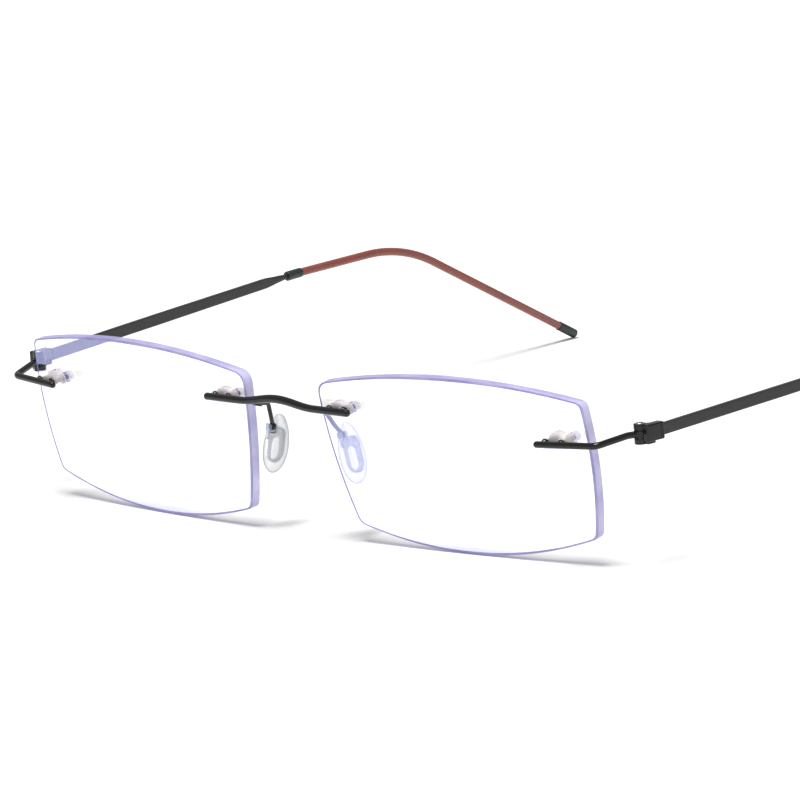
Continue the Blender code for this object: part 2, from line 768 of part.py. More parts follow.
def add_bracket(name, side, finish):
    """The small block brazed under the back of the bridge wire."""
    top = bridge_point(BRACKET_X).z
    rings = []
    for y, z_low, z_high, half in (
        (BRIDGE_Y + BRIDGE_RADIUS + SEAT_GAP, top - 0.75, top + 0.25, 0.55),
        (0.2, 21.35, 22.45, 0.50),
        (0.85, 21.2, 22.2, 0.45),
    ):
        x = BRACKET_X
        rings.append([(x - half, y, z_low), (x + half, y, z_low),
                      (x + half, y, z_high), (x - half, y, z_high)])
    block = loft(rings)
    sharp = [edge for edge in block.edges if edge.is_manifold and not edge.is_boundary]
    bmesh.ops.bevel(block, geom=sharp, offset=0.12, segments=2, profile=0.5, affect="EDGES")
    return add_object(name, block, finish, Matrix.Diagonal((side, 1, 1, 1)))


def pad_pivot():
    """Where the left pad's rocking axis passes through the arm's eye."""
    return pad_frame(1) @ Vector(EYE_SPOT)


def add_arm(name, side, finish):
    """The pad arm: a fine wire that bends down to an eye at the top of the pad."""
    pivot = pad_pivot()
    start = bracket_end() + Vector((0, -0.09, -0.05))
    stop = pivot + Vector((-0.1, -0.05, 1)).normalized() * (EYE_RADIUS - 0.15)
    corners = [start, (6.45, 2.7, 21.4), (7.35, 4.0, 18.6), stop]
    path = rounded_path(corners, [1.2, 1.5], 12.0)
    path = [mirrored(point, side) for point in path]
    arm = wire(name, path, ARM_RADIUS, finish, rounded=(False, False), sides=12)
    centre = mirrored(pivot, side)
    reach = Vector((0, EYE_HALF, 0))
    eye = cylinder(EYE_RADIUS, centre - reach, centre + reach, 24)
    bore = cylinder(EYE_BORE, centre - reach * 4, centre + reach * 4, 24)
    combine(arm, [add_object(name + "_eye", eye, finish)], "UNION")
    return combine(arm, [add_object(name + "_bore", bore, finish)], "DIFFERENCE")


# ---------------------------------------------------------------- assembly


def hang_on(joint_name, spot, children):
    """Parents the pieces to an empty on their joint's axis, keeping them in place."""
    pivot = bpy.data.objects.new(joint_name, None)
    pivot.location = [value * MM for value in spot]
    bpy.context.scene.collection.objects.link(pivot)
    for child in children:
        child.parent = pivot
        child.matrix_parent_inverse = Matrix.Translation(-pivot.location)
    return pivot


def build():
    """Makes every piece on both sides and gathers them under one root."""
    enamel = material("black_enamel", (0.012, 0.012, 0.013), 0.22, 0.3)
    satin = material("satin_black_strip", (0.035, 0.035, 0.038), 0.42, 0.4)
    clear = material("clear_lens", (0.93, 0.92, 1.0), 0.02, 0.0, 0.25)
    bush_clear = material("clear_bush", (0.95, 0.90, 0.87), 0.12, 0.0, 0.6)
    silicone = material("clear_silicone", (0.93, 0.94, 0.97), 0.25, 0.0, 0.5)
    insert_grey = material("blue_grey_insert", (0.40, 0.44, 0.55), 0.3)
    brown = material("red_brown_sleeve", (0.36, 0.115, 0.09), 0.35)
    cap_black = material("black_plastic", (0.025, 0.035, 0.035), 0.4)
    steel = material("screw_steel", (0.62, 0.62, 0.60), 0.25, 1.0)

    nasal = mount_seat([bridge_point(x) for x in NASAL_PINS_X])
    outer = mount_seat([endpiece_point(x) for x in OUTER_PINS_X])
    fixed = [add_bridge(nasal, enamel)]
    pivots = []
    for word, side in (("left", 1), ("right", -1)):
        fixed += [
            add_lens(word + "_lens", [nasal, outer], side, clear),
            add_bush(word + "_nasal_bush", nasal, BRIDGE_RADIUS, side, bush_clear),
            add_bush(word + "_outer_bush", outer, ENDPIECE_RADIUS, side, bush_clear),
            add_endpiece(word + "_endpiece", outer, side, enamel),
            add_bracket(word + "_pad_bracket", side, enamel),
            add_arm(word + "_pad_arm", side, enamel),
        ]
        temple = [
            add_clamp(word + "_hinge_clamp", side, enamel),
            add_screw(word + "_hinge_screw", side, steel),
            add_strip(word + "_temple_strip", side, satin),
            add_tube(word + "_collar", COLLAR_START, COLLAR_END - SEAT_GAP, COLLAR_RADIUS,
                     CORE_RADIUS + 0.06, side, cap_black, chamfer=0.12),
            add_tube(word + "_ear_sleeve", COLLAR_END, SLEEVE_END - SEAT_GAP, SLEEVE_RADIUS,
                     SLEEVE_RADIUS - SLEEVE_WALL, side, brown),
            add_tube(word + "_end_cap", SLEEVE_END, TEMPLE_TIP[0], CAP_RADIUS, CAP_BORE, side,
                     cap_black, chamfer=0.10, blind=1.6),
        ]
        pivots.append(hang_on(word + "_temple_pivot", mirrored(HINGE, side), temple))
        pad = [
            add_pad(word + "_nose_pad", side, silicone),
            add_insert(word + "_pad_insert", side, insert_grey),
        ]
        pivots.append(hang_on(word + "_pad_pivot", mirrored(pad_pivot(), side), pad))
    root = bpy.data.objects.new("eyeglasses", None)
    bpy.context.scene.collection.objects.link(root)
    for child in fixed + pivots:
        child.parent = root
    root.location = (0, -ORIGIN_Y * MM, -FLOOR_Z * MM)


set_scene()
build()
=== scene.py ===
"""Rimless eyeglasses: the fine visual model, dressed and lit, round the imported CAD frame."""

from __future__ import annotations

import logging
import math
from dataclasses import dataclass, field
from enum import Enum
from typing import Any, Callable, ClassVar, Iterable, Sequence

import bmesh
import bpy
from mathutils import Matrix, Vector

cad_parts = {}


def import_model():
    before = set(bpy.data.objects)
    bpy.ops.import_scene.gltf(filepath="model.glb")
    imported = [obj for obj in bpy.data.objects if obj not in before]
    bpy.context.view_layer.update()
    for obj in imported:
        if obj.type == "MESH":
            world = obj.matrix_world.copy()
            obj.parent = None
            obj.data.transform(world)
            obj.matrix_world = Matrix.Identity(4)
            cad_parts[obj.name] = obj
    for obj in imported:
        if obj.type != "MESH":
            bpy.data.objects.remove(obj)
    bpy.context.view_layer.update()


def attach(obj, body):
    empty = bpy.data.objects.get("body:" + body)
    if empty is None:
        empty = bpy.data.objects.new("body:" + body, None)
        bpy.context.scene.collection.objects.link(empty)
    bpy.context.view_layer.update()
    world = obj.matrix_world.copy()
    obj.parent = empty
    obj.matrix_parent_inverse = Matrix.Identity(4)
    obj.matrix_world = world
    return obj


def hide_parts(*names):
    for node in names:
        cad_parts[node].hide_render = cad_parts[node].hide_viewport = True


LOG = logging.getLogger("eyeglasses")

MM = 0.001  # metres in a millimetre
ORIGIN = Vector((0.0, 71.322, 0.068))  # of the row frame, in the maker's drawing
SEAT_GAP = 0.04  # between pieces that rest on each other

SMOOTH_DEG = 35.0  # edges sharper than this stay sharp
DRILL_END = 5.0  # well behind any lens
LENS_EDGE_INDEX, LENS_RIM_INDEX = 2, 3  # after the lens's front and back

Rings = list[list[Vector]]
Colour = tuple[float, float, float, float]
Spot = tuple[float, float, float]
Steps = tuple[tuple[float, float], ...]


class Side(Enum):
    """The wearer's two sides."""

    LEFT = 1
    RIGHT = -1

    @property
    def word(self) -> str:
        """The side as it stands in piece names."""
        return self.name.lower()

    @property
    def flip(self) -> Matrix:
        """Takes the left half's drawing to this side."""
        return Matrix.Diagonal((self.value, 1, 1, 1))


# ------------------------------------------------------------------ finishes


def linear(code: str) -> Colour:
    """Turns an sRGB hex colour into the linear colour that shaders take.

    Args:
        code: Six hex digits after a hash sign.

    Returns:
        Red, green, blue and an alpha of one.
    """
    channels = [int(code[i : i + 2], 16) / 255 for i in (1, 3, 5)]
    low = [c / 12.92 if c <= 0.04045 else ((c + 0.055) / 1.055) ** 2.4 for c in channels]
    return (low[0], low[1], low[2], 1.0)


def add_node(
    tree: bpy.types.NodeTree,
    kind: str,
    settings: dict[str, Any] | None = None,
    inputs: dict[str | int, Any] | None = None,
) -> bpy.types.Node:
    """Adds a node with its settings, socket values and links.

    Args:
        tree: The node tree that takes it.
        kind: The node's type name.
        settings: Attributes of the node.
        inputs: A value or a linked output socket for each input, by name or index.

    Returns:
        The new node.
    """
    node = tree.nodes.new(kind)
    for key, value in (settings or {}).items():
        setattr(node, key, value)
    for key, value in (inputs or {}).items():
        if isinstance(value, bpy.types.NodeSocket):
            tree.links.new(value, node.inputs[key])
        else:
            node.inputs[key].default_value = value
    return node


@dataclass(frozen=True)
class Finish:
    """A surface finish; each kind draws its own shader."""

    name: str
    colour: str

    def shade(self, tree: bpy.types.NodeTree) -> bpy.types.NodeSocket:
        """Draws the finish.

        Args:
            tree: The material's empty node tree.

        Returns:
            The shader socket for the surface.
        """
        raise NotImplementedError

    def material(self) -> bpy.types.Material:
        """Returns the finish's material, made on its first use."""
        made = bpy.data.materials.get(self.name)
        if made is None:
            made = bpy.data.materials.new(self.name)
            made.use_nodes = True
            made.node_tree.nodes.clear()
            surface = self.shade(made.node_tree)
            add_node(made.node_tree, "ShaderNodeOutputMaterial", inputs={"Surface": surface})
        return made

    def speckle(
        self, tree: bpy.types.NodeTree, grain_mm: float, stretch: Sequence[float] = (1, 1, 1)
    ) -> bpy.types.NodeSocket:
        """Draws noise on the piece's own coordinates.

        Args:
            tree: The material's node tree.
            grain_mm: Size of one grain.
            stretch: How much the pattern is squeezed along X, Y and Z.

        Returns:
            The noise value, from 0 to 1.
        """
        place = add_node(tree, "ShaderNodeTexCoord").outputs["Object"]
        scale = add_node(
            tree, "ShaderNodeMapping", inputs={"Vector": place, "Scale": stretch}
        ).outputs[0]
        noise = add_node(
            tree,
            "ShaderNodeTexNoise",
            inputs={"Vector": scale, "Scale": 1 / (grain_mm * MM), "Detail": 3.0},
        )
        return noise.outputs["Fac"]

    def span(
        self, tree: bpy.types.NodeTree, value: bpy.types.NodeSocket, low: float, high: float
    ) -> bpy.types.NodeSocket:
        """Stretches the middle of a noise value over a range.

        Args:
            tree: The material's node tree.
            value: The noise.
            low: What it gives at 0.3.
            high: What it gives at 0.7.

        Returns:
            The stretched value.
        """
        ends = {"Value": value, "From Min": 0.3, "From Max": 0.7, "To Min": low, "To Max": high}
        return add_node(tree, "ShaderNodeMapRange", inputs=ends).outputs[0]

    def blend(
        self,
        tree: bpy.types.NodeTree,
        amount: bpy.types.NodeSocket,
        first: str | bpy.types.NodeSocket,
        second: str | bpy.types.NodeSocket,
    ) -> bpy.types.NodeSocket:
        """Mixes two colours, each a hex code or a socket, and returns the mixed colour."""
        ends = {
            index: linear(tone) if isinstance(tone, str) else tone
            for index, tone in ((6, first), (7, second))
        }
        node = add_node(tree, "ShaderNodeMix", {"data_type": "RGBA"}, {0: amount, **ends})
        return node.outputs[2]

    def bump(
        self, tree: bpy.types.NodeTree, height: bpy.types.NodeSocket, depth_mm: float
    ) -> bpy.types.NodeSocket:
        """Turns a height of 0 to 1 into a bumped normal, depth_mm deep."""
        relief = {"Height": height, "Distance": depth_mm * MM, "Strength": 1.0}
        return add_node(tree, "ShaderNodeBump", inputs=relief).outputs[0]


@dataclass(frozen=True)
class CoatedMetal(Finish):
    """Paint on metal wire or strip: even colour with a faint orange peel or brushed lines."""

    second: str = "#000000"
    roughness: float = 0.2
    spread: float = 0.05
    specular: float = 0.5
    peel_mm: float = 0.6
    peel_depth_mm: float = 0.002
    stretch: tuple[float, float, float] = (1.0, 1.0, 1.0)

    def shade(self, tree: bpy.types.NodeTree) -> bpy.types.NodeSocket:
        """Draws the paint and returns its shader socket."""
        grain = self.speckle(tree, self.peel_mm, self.stretch)
        wear = self.speckle(tree, self.peel_mm * 9)
        shader = add_node(
            tree,
            "ShaderNodeBsdfPrincipled",
            inputs={
                "Base Color": self.blend(tree, wear, self.colour, self.second),
                "Roughness": self.span(
                    tree, grain, self.roughness - self.spread, self.roughness + self.spread
                ),
                "Normal": self.bump(tree, grain, self.peel_depth_mm),
                "Specular IOR Level": self.specular,
            },
        )
        return shader.outputs[0]


@dataclass(frozen=True)
class BrightSteel(Finish):
    """Turned screw steel: bright, with fine tool lines."""

    roughness: float = 0.24

    def shade(self, tree: bpy.types.NodeTree) -> bpy.types.NodeSocket:
        """Draws the steel and returns its shader socket."""
        lines = self.speckle(tree, 0.12, (1, 1, 4))
        shader = add_node(
            tree,
            "ShaderNodeBsdfPrincipled",
            inputs={
                "Base Color": linear(self.colour),
                "Metallic": 1.0,
                "Roughness": self.span(tree, lines, self.roughness - 0.06, self.roughness + 0.1),
                "Normal": self.bump(tree, lines, 0.002),
            },
        )
        return shader.outputs[0]


@dataclass(frozen=True)
class TubePlastic(Finish):
    """Extruded or moulded plastic: a little light enters it, and its colour clouds slightly."""

    second: str = "#000000"
    roughness: float = 0.35
    depth: float = 0.0
    cloud_mm: float = 5.0
    grain_mm: float = 0.25
    grain_depth_mm: float = 0.003

    def shade(self, tree: bpy.types.NodeTree) -> bpy.types.NodeSocket:
        """Draws the plastic and returns its shader socket."""
        cloud = self.span(tree, self.speckle(tree, self.cloud_mm), 0.0, 1.0)
        grain = self.speckle(tree, self.grain_mm)
        shader = add_node(
            tree,
            "ShaderNodeBsdfPrincipled",
            inputs={
                "Base Color": self.blend(tree, cloud, self.colour, self.second),
                "Roughness": self.span(tree, grain, self.roughness - 0.05, self.roughness + 0.07),
                "Normal": self.bump(tree, grain, self.grain_depth_mm),
                "Subsurface Weight": self.depth,
                "Subsurface Radius": (1.0, 0.35, 0.25),
                "Subsurface Scale": 0.8 * MM,
            },
        )
        return shader.outputs[0]


@dataclass(frozen=True)
class CoatedResin(Finish):
    """Polished lens resin: clear, with the coating's coloured reflection on top of it."""

    glow: str = "#000000"
    second: str = "#000000"
    roughness: float = 0.03

    def shade(self, tree: bpy.types.NodeTree) -> bpy.types.NodeSocket:
        """Draws the resin and returns its shader socket."""
        through = add_node(
            tree, "ShaderNodeBsdfTransparent", inputs={"Color": linear(self.colour)}
        )
        polish = add_node(tree, "ShaderNodeBsdfGlossy", inputs={"Roughness": self.roughness})
        turned = add_node(tree, "ShaderNodeLayerWeight", inputs={"Blend": 0.5})
        slant = add_node(
            tree, "ShaderNodeMath", {"operation": "POWER"}, {0: turned.outputs["Facing"], 1: 5.0}
        )
        share = {"Value": slant.outputs[0], "To Min": 0.05, "To Max": 1.0}
        mirror = add_node(tree, "ShaderNodeMapRange", inputs=share)
        clear = add_node(
            tree,
            "ShaderNodeMixShader",
            inputs={0: mirror.outputs[0], 1: through.outputs[0], 2: polish.outputs[0]},
        )
        drift = self.span(tree, self.speckle(tree, 18.0), 0.0, 1.0)
        film = self.blend(tree, drift, self.glow, self.second)
        shine = add_node(
            tree, "ShaderNodeBsdfGlossy", inputs={"Color": film, "Roughness": self.roughness}
        )
        both = add_node(
            tree, "ShaderNodeAddShader", inputs={0: clear.outputs[0], 1: shine.outputs[0]}
        )
        return both.outputs[0]


@dataclass(frozen=True)
class ClearPlastic(Finish):
    """Clear soft or hard plastic: see-through face on, denser where it turns away, and tinted there
    by painted shade.
    """

    second: str = "#ffffff"
    # colour where the surface turns edge-on: painted shade
    rim: str = "#ffffff"
    body: float = 0.3  # how solid it looks face on
    edge: float = 0.8  # how solid it looks edge on
    inside: float = 1.0  # how much of that is left where it is seen from inside the clear body
    bend: float = 0.35
    roughness: float = 0.15
    streak_mm: float = 3.0
    streak: tuple[float, float, float] = (1.0, 1.0, 1.0)

    def shade(self, tree: bpy.types.NodeTree) -> bpy.types.NodeSocket:
        """Draws the plastic and returns its shader socket."""
        turned = add_node(tree, "ShaderNodeLayerWeight", inputs={"Blend": self.bend})
        facing = turned.outputs["Facing"]
        amount = add_node(
            tree,
            "ShaderNodeMapRange",
            inputs={"Value": facing, "To Min": self.body, "To Max": self.edge},
        )
        inner = add_node(tree, "ShaderNodeNewGeometry").outputs["Backfacing"]
        kept = add_node(
            tree,
            "ShaderNodeMapRange",
            inputs={"Value": inner, "To Min": 1.0, "To Max": self.inside},
        )
        shown = add_node(
            tree,
            "ShaderNodeMath",
            {"operation": "MULTIPLY"},
            {0: amount.outputs[0], 1: kept.outputs[0]},
        )
        cloud = self.span(tree, self.speckle(tree, self.streak_mm, self.streak), 0.0, 1.0)
        # painted shade: the colour runs to the darker edge-on colour as the surface turns away
        tone = self.blend(tree, facing, self.blend(tree, cloud, self.colour, self.second), self.rim)
        skin = add_node(
            tree,
            "ShaderNodeBsdfPrincipled",
            inputs={"Base Color": tone, "Roughness": self.roughness},
        )
        clear = add_node(tree, "ShaderNodeBsdfTransparent")
        both = add_node(
            tree,
            "ShaderNodeMixShader",
            inputs={0: shown.outputs[0], 1: clear.outputs[0], 2: skin.outputs[0]},
        )
        return both.outputs[0]


# Stove enamel on steel wire: near-black and wet-looking, with long thin highlights.
ENAMEL = CoatedMetal(
    "black_stove_enamel", "#0f0f10", second="#171614", roughness=0.17, specular=0.38, peel_mm=0.8
)
# Satin lacquer on the flat strip: charcoal, with lengthwise brush lines under it.
LACQUER = CoatedMetal(
    "satin_charcoal_lacquer", "#242426", second="#2c2c2f", roughness=0.42, spread=0.08,
    specular=0.42, peel_mm=0.25, peel_depth_mm=0.003, stretch=(1.0, 0.06, 1.0),
)
# Extruded tube: red-brown, slightly translucent, so its shadow side stays warm.
SLEEVE = TubePlastic(
    "red_brown_extruded_tube", "#8a4636", second="#7d3f39", roughness=0.30, depth=0.35
)
# Moulded ABS: near-black with a green cast and a fine dull grain.
BLACK_ABS = TubePlastic(
    "black_moulded_abs", "#1a2121", second="#232b2b", roughness=0.38, grain_depth_mm=0.004
)
# Turned steel: the one bright spot at each hinge.
STEEL = BrightSteel("turned_screw_steel", "#c9c7c2")
# Front of the lens: clear resin whose anti-reflection coating throws back violet.
LENS_FRONT = CoatedResin(
    "coated_lens_resin", "#f2f2ee", glow="#7577a2", second="#70749f"
)
# Back of the lens: the same resin, polished, with a faint colourless gloss.
LENS_BACK = CoatedResin("polished_lens_resin", "#fbfbfb", glow="#262628", second="#2a2a30")
# Ground and polished edge: the coating's violet as a painted reflection, in streaks along the rim,
# darker edge-on by painted shade.
LENS_EDGE = ClearPlastic(
    "polished_lens_edge", "#8f88cc", second="#cfcaf0", rim="#8d86c4", body=0.80, edge=0.92,
    inside=0.05, roughness=0.28, streak_mm=5.0,
)
# The fine chamfer round each face: the lens's thin violet outline, a painted reflection of the
# coating, darker edge-on by painted shade.
LENS_RIM = ClearPlastic(
    "chamfered_lens_rim", "#7a73b0", second="#aaa4d6", rim="#746da8", body=0.92, edge=0.95,
    inside=0.9, roughness=0.28, streak_mm=7.0,
)
# Clear nylon bush: white clouded with cream, and pink by painted shade where it turns edge-on.
BUSH = ClearPlastic(
    "clear_cream_nylon", "#ffffff", second="#fff6ee", rim="#f6e4da", body=0.34, edge=0.66,
    inside=0.25, bend=0.3, roughness=0.12, streak_mm=1.2,
)
# Clear nylon with a blue-grey cast: the stiff loop that shows through the soft pad; darker by painted
# shade where it turns edge-on.
NYLON = ClearPlastic(
    "blue_grey_clear_nylon", "#8a99ae", second="#a3b0c2", rim="#667489", body=0.48, edge=0.95,
    inside=0.5, bend=0.35, roughness=0.2, streak_mm=1.5,
)
# Silicone rubber: clear face on, with a soft blue-grey outline that is painted shade where it turns
# edge-on.
SILICONE = ClearPlastic(
    "clear_silicone_rubber", "#eef1f6", second="#ffffff", rim="#3f4a59", body=0.06, edge=1.0,
    inside=0.6, bend=0.60, roughness=0.16, streak_mm=2.5,
)


# ------------------------------------------------------------------ mesh helpers


def new_object(name: str, data: bpy.types.ID) -> bpy.types.Object:
    """Makes an object round its data and puts it in the scene."""
    obj = bpy.data.objects.new(name, data)
    bpy.context.scene.collection.objects.link(obj)
    return obj


def soften(mesh: bpy.types.Mesh, smooth_deg: float = SMOOTH_DEG) -> None:
    """Shades a mesh smooth, apart from edges sharper than smooth_deg."""
    mesh.shade_smooth()
    mesh.set_sharp_from_angle(angle=math.radians(smooth_deg))


def round_edges(
    bm: bmesh.types.BMesh, edges: Iterable[bmesh.types.BMEdge], radius: float, segments: int
) -> None:
    """Rounds edges to a radius, in a number of segments."""
    bmesh.ops.bevel(
        bm, geom=list(edges), offset=radius, segments=segments, profile=0.5, affect="EDGES"
    )


def to_object(
    name: str,
    bm: bmesh.types.BMesh,
    finishes: Sequence[Finish],
    place: Matrix | None = None,
    smooth_deg: float = SMOOTH_DEG,
) -> bpy.types.Object:
    """Turns a bmesh in drawing millimetres into a finished object in the row frame.

    Args:
        name: The object's name.
        bm: The mesh; it is used up.
        finishes: One finish for each material index.
        place: Turns the mesh before it is moved to the row frame.
        smooth_deg: Edges sharper than this stay sharp.

    Returns:
        The object, at the origin and unturned.
    """
    if place is not None:
        bmesh.ops.transform(bm, matrix=place, verts=bm.verts)
    bmesh.ops.translate(bm, vec=-ORIGIN, verts=bm.verts)
    bmesh.ops.scale(bm, vec=(MM, MM, MM), verts=bm.verts)
    bmesh.ops.recalc_face_normals(bm, faces=bm.faces)
    mesh = bpy.data.meshes.new(name)
    bm.to_mesh(mesh)
    bm.free()
    for finish in finishes:
        mesh.materials.append(finish.material())
    soften(mesh, smooth_deg)
    return new_object(name, mesh)


def solids(
    made: Iterable[bmesh.types.BMesh], finish: Finish, place: Matrix
) -> list[bpy.types.Object]:
    """Makes the plain solids that combine joins to a piece or cuts from it."""
    return [to_object("solid", bm, (finish,), place) for bm in made]


def bake_modifiers(obj: bpy.types.Object) -> bpy.types.Object:
    """Applies an object's modifiers to its mesh, removes them and returns the object."""
    bpy.context.view_layer.update()
    graph = bpy.context.evaluated_depsgraph_get()
    mesh = bpy.data.meshes.new_from_object(obj.evaluated_get(graph))
    obj.modifiers.clear()
    old = obj.data
    obj.data = mesh
    bpy.data.meshes.remove(old)
    mesh.name = obj.name
    soften(mesh)
    return obj


def combine(
    target: bpy.types.Object, tools: Iterable[bpy.types.Object], operation: str
) -> bpy.types.Object:
    """Joins the tools to the target or cuts them from it, and removes them.

    Args:
        target: The object that is changed.
        tools: The other objects.
        operation: UNION or DIFFERENCE.

    Returns:
        The target.
    """
    spent = list(tools)
    for tool in spent:
        step = target.modifiers.new(operation.lower(), "BOOLEAN")
        step.operation = operation
        step.solver = "EXACT"
        step.object = tool
    bake_modifiers(target)
    for tool in spent:
        bpy.data.objects.remove(tool, do_unlink=True)
    return target


def cylinder(
    radius: float, start: Sequence[float], end: Sequence[float], sides: int = 48,
    rounding: float = 0.0,
) -> bmesh.types.BMesh:
    """Makes a closed cylinder between two points.

    Args:
        radius: Its radius.
        start: Centre of one end.
        end: Centre of the other end.
        sides: Number of sides.
        rounding: Radius of its rounded rims.

    Returns:
        The cylinder as a bmesh.
    """
    bm = bmesh.new()
    first = Vector(start)
    along = Vector(end) - first
    turn = Vector((0, 0, 1)).rotation_difference(along).to_matrix().to_4x4()
    bmesh.ops.create_cone(
        bm, cap_ends=True, segments=sides, radius1=radius, radius2=radius, depth=along.length,
        matrix=Matrix.Translation(first + along / 2) @ turn,
    )
    if rounding:
        rims = [edge for edge in bm.edges if any(len(f.verts) > 4 for f in edge.link_faces)]
        round_edges(bm, rims, rounding, 3)
    return bm


def block(
    low: Sequence[float], high: Sequence[float], rounding: float = 0.0, segments: int = 4
) -> bmesh.types.BMesh:
    """Makes a closed block between two corners, with rounded edges.

    Args:
        low: The corner with the lowest coordinates.
        high: The opposite corner.
        rounding: Radius of its edges.
        segments: Steps in each rounded edge.

    Returns:
        The block as a bmesh.
    """
    bm = bmesh.new()
    size = [b - a for a, b in zip(low, high)]
    middle = Vector([(a + b) / 2 for a, b in zip(low, high)])
    bmesh.ops.create_cube(
        bm, size=1.0, matrix=Matrix.Translation(middle) @ Matrix.Diagonal((*size, 1.0))
    )
    if rounding:
        round_edges(bm, bm.edges, rounding, segments)
    return bm


def loft(rings: Rings) -> bmesh.types.BMesh:
    """Skins rings of equal length and caps both ends.

    Args:
        rings: The rings in order.

    Returns:
        A closed bmesh.
    """
    bm = bmesh.new()
    made = [[bm.verts.new(point) for point in ring] for ring in rings]
    count = len(made[0])
    for low, high in zip(made, made[1:]):
        for i in range(count):
            j = (i + 1) % count
            bm.faces.new((low[i], low[j], high[j], high[i]))
    bm.faces.new(made[0][::-1])
    bm.faces.new(made[-1])
    return bm


def rounded_path(
    corners: Sequence[Sequence[float]], radii: Sequence[float], step_deg: float = 3.0
) -> list[Vector]:
    """Joins straight runs by arcs.

    Args:
        corners: The corner points, ends included.
        radii: One radius for each inner corner.
        step_deg: Turn between neighbouring points of an arc.

    Returns:
        The points of the path.
    """
    points = [Vector(corners[0])]
    for before, spot, after, radius in zip(corners, corners[1:], corners[2:], radii):
        corner = Vector(spot)
        back = (Vector(before) - corner).normalized()
        ahead = (Vector(after) - corner).normalized()
        turn = math.pi - back.angle(ahead)
        reach = radius * math.tan(turn / 2)
        centre = corner + (back + ahead).normalized() * (radius / math.cos(turn / 2))
        first = corner + back * reach - centre
        axis = first.cross(corner + ahead * reach - centre).normalized()
        steps = max(3, math.ceil(math.degrees(turn) / step_deg))
        for i in range(steps + 1):
            points.append(centre + Matrix.Rotation(turn * i / steps, 3, axis) @ first)
    points.append(Vector(corners[-1]))
    return points


def frame_matrix(origin: Vector, x_axis: Vector, y_axis: Vector) -> Matrix:
    """Makes a right-handed frame that keeps y_axis and squares x_axis to it.

    Args:
        origin: The frame's origin.
        x_axis: Roughly its X.
        y_axis: Exactly its Y.

    Returns:
        The frame as a matrix.
    """
    y_dir = y_axis.normalized()
    x_dir = (x_axis - y_dir * x_axis.dot(y_dir)).normalized()
    turn = Matrix((x_dir, y_dir, x_dir.cross(y_dir))).transposed().to_4x4()
    return Matrix.Translation(origin) @ turn


def hand_over(
    obj: bpy.types.Object, body: str, nodes: Sequence[str]
) -> bpy.types.Object:
    """Gives a finished piece to the frame.

    Args:
        obj: The piece.
        body: The body that it rides on.
        nodes: The CAD nodes that it replaces.

    Returns:
        The piece.
    """
    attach(obj, body)
    if nodes:
        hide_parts(*nodes)
    LOG.info("%s on %s, %d faces", obj.name, body, len(obj.data.polygons))
    return obj


# ------------------------------------------------------------------ geometry nodes


class Tree:
    """A Geometry Nodes tree that draws a shape and gives it a finish."""

    NAME: ClassVar[str]
    INPUTS: ClassVar[dict[str, str]]  # each input's socket kind; Finish is added to them

    @classmethod
    def draw(
        cls, tree: bpy.types.NodeTree, given: bpy.types.NodeOutputs
    ) -> bpy.types.NodeSocket:
        """Draws the shape.

        Args:
            tree: The node tree that takes it.
            given: The tree's inputs.

        Returns:
            The shape's geometry socket.
        """
        raise NotImplementedError

    @classmethod
    def group(cls) -> bpy.types.NodeTree:
        """Returns the node group, made on its first use."""
        made = bpy.data.node_groups.get(cls.NAME)
        if made is not None:
            return made
        made = bpy.data.node_groups.new(cls.NAME, "GeometryNodeTree")
        face = made.interface
        for name, kind in {**cls.INPUTS, "Finish": "Material"}.items():
            face.new_socket(name, in_out="INPUT", socket_type="NodeSocket" + kind)
        face.new_socket("Shape", in_out="OUTPUT", socket_type="NodeSocketGeometry")
        given = add_node(made, "NodeGroupInput").outputs
        shape = {"Geometry": cls.draw(made, given)}
        real = add_node(made, "GeometryNodeRealizeInstances", inputs=shape)
        dress = {"Geometry": real.outputs[0], "Material": given["Finish"]}
        dressed = add_node(made, "GeometryNodeSetMaterial", inputs=dress)
        add_node(made, "NodeGroupOutput", inputs={"Shape": dressed.outputs[0]})
        return made


class WireTree(Tree):
    """Sweeps a round wire along a path, with a taper at each point."""

    NAME = "wire_along_path"
    INPUTS = {"Path": "Geometry", "Radius": "Float", "Sides": "Int"}

    @classmethod
    def draw(
        cls, tree: bpy.types.NodeTree, given: bpy.types.NodeOutputs
    ) -> bpy.types.NodeSocket:
        """Draws the wire and returns its geometry socket."""
        taper = add_node(
            tree, "GeometryNodeInputNamedAttribute", {"data_type": "FLOAT"}, {"Name": "taper"}
        ).outputs["Attribute"]
        line = add_node(tree, "GeometryNodeMeshToCurve", inputs={"Mesh": given["Path"]})
        thick = {"Curve": line.outputs[0], "Radius": taper}
        sized = add_node(tree, "GeometryNodeSetCurveRadius", inputs=thick)
        round_to = {"Resolution": given["Sides"], "Radius": given["Radius"]}
        ring = add_node(tree, "GeometryNodeCurvePrimitiveCircle", inputs=round_to)
        swept = {"Curve": sized.outputs[0], "Profile Curve": ring.outputs[0], "Fill Caps": True}
        skin = add_node(tree, "GeometryNodeCurveToMesh", inputs=swept)
        if "Scale" in skin.inputs:
            tree.links.new(taper, skin.inputs["Scale"])
        return skin.outputs[0]


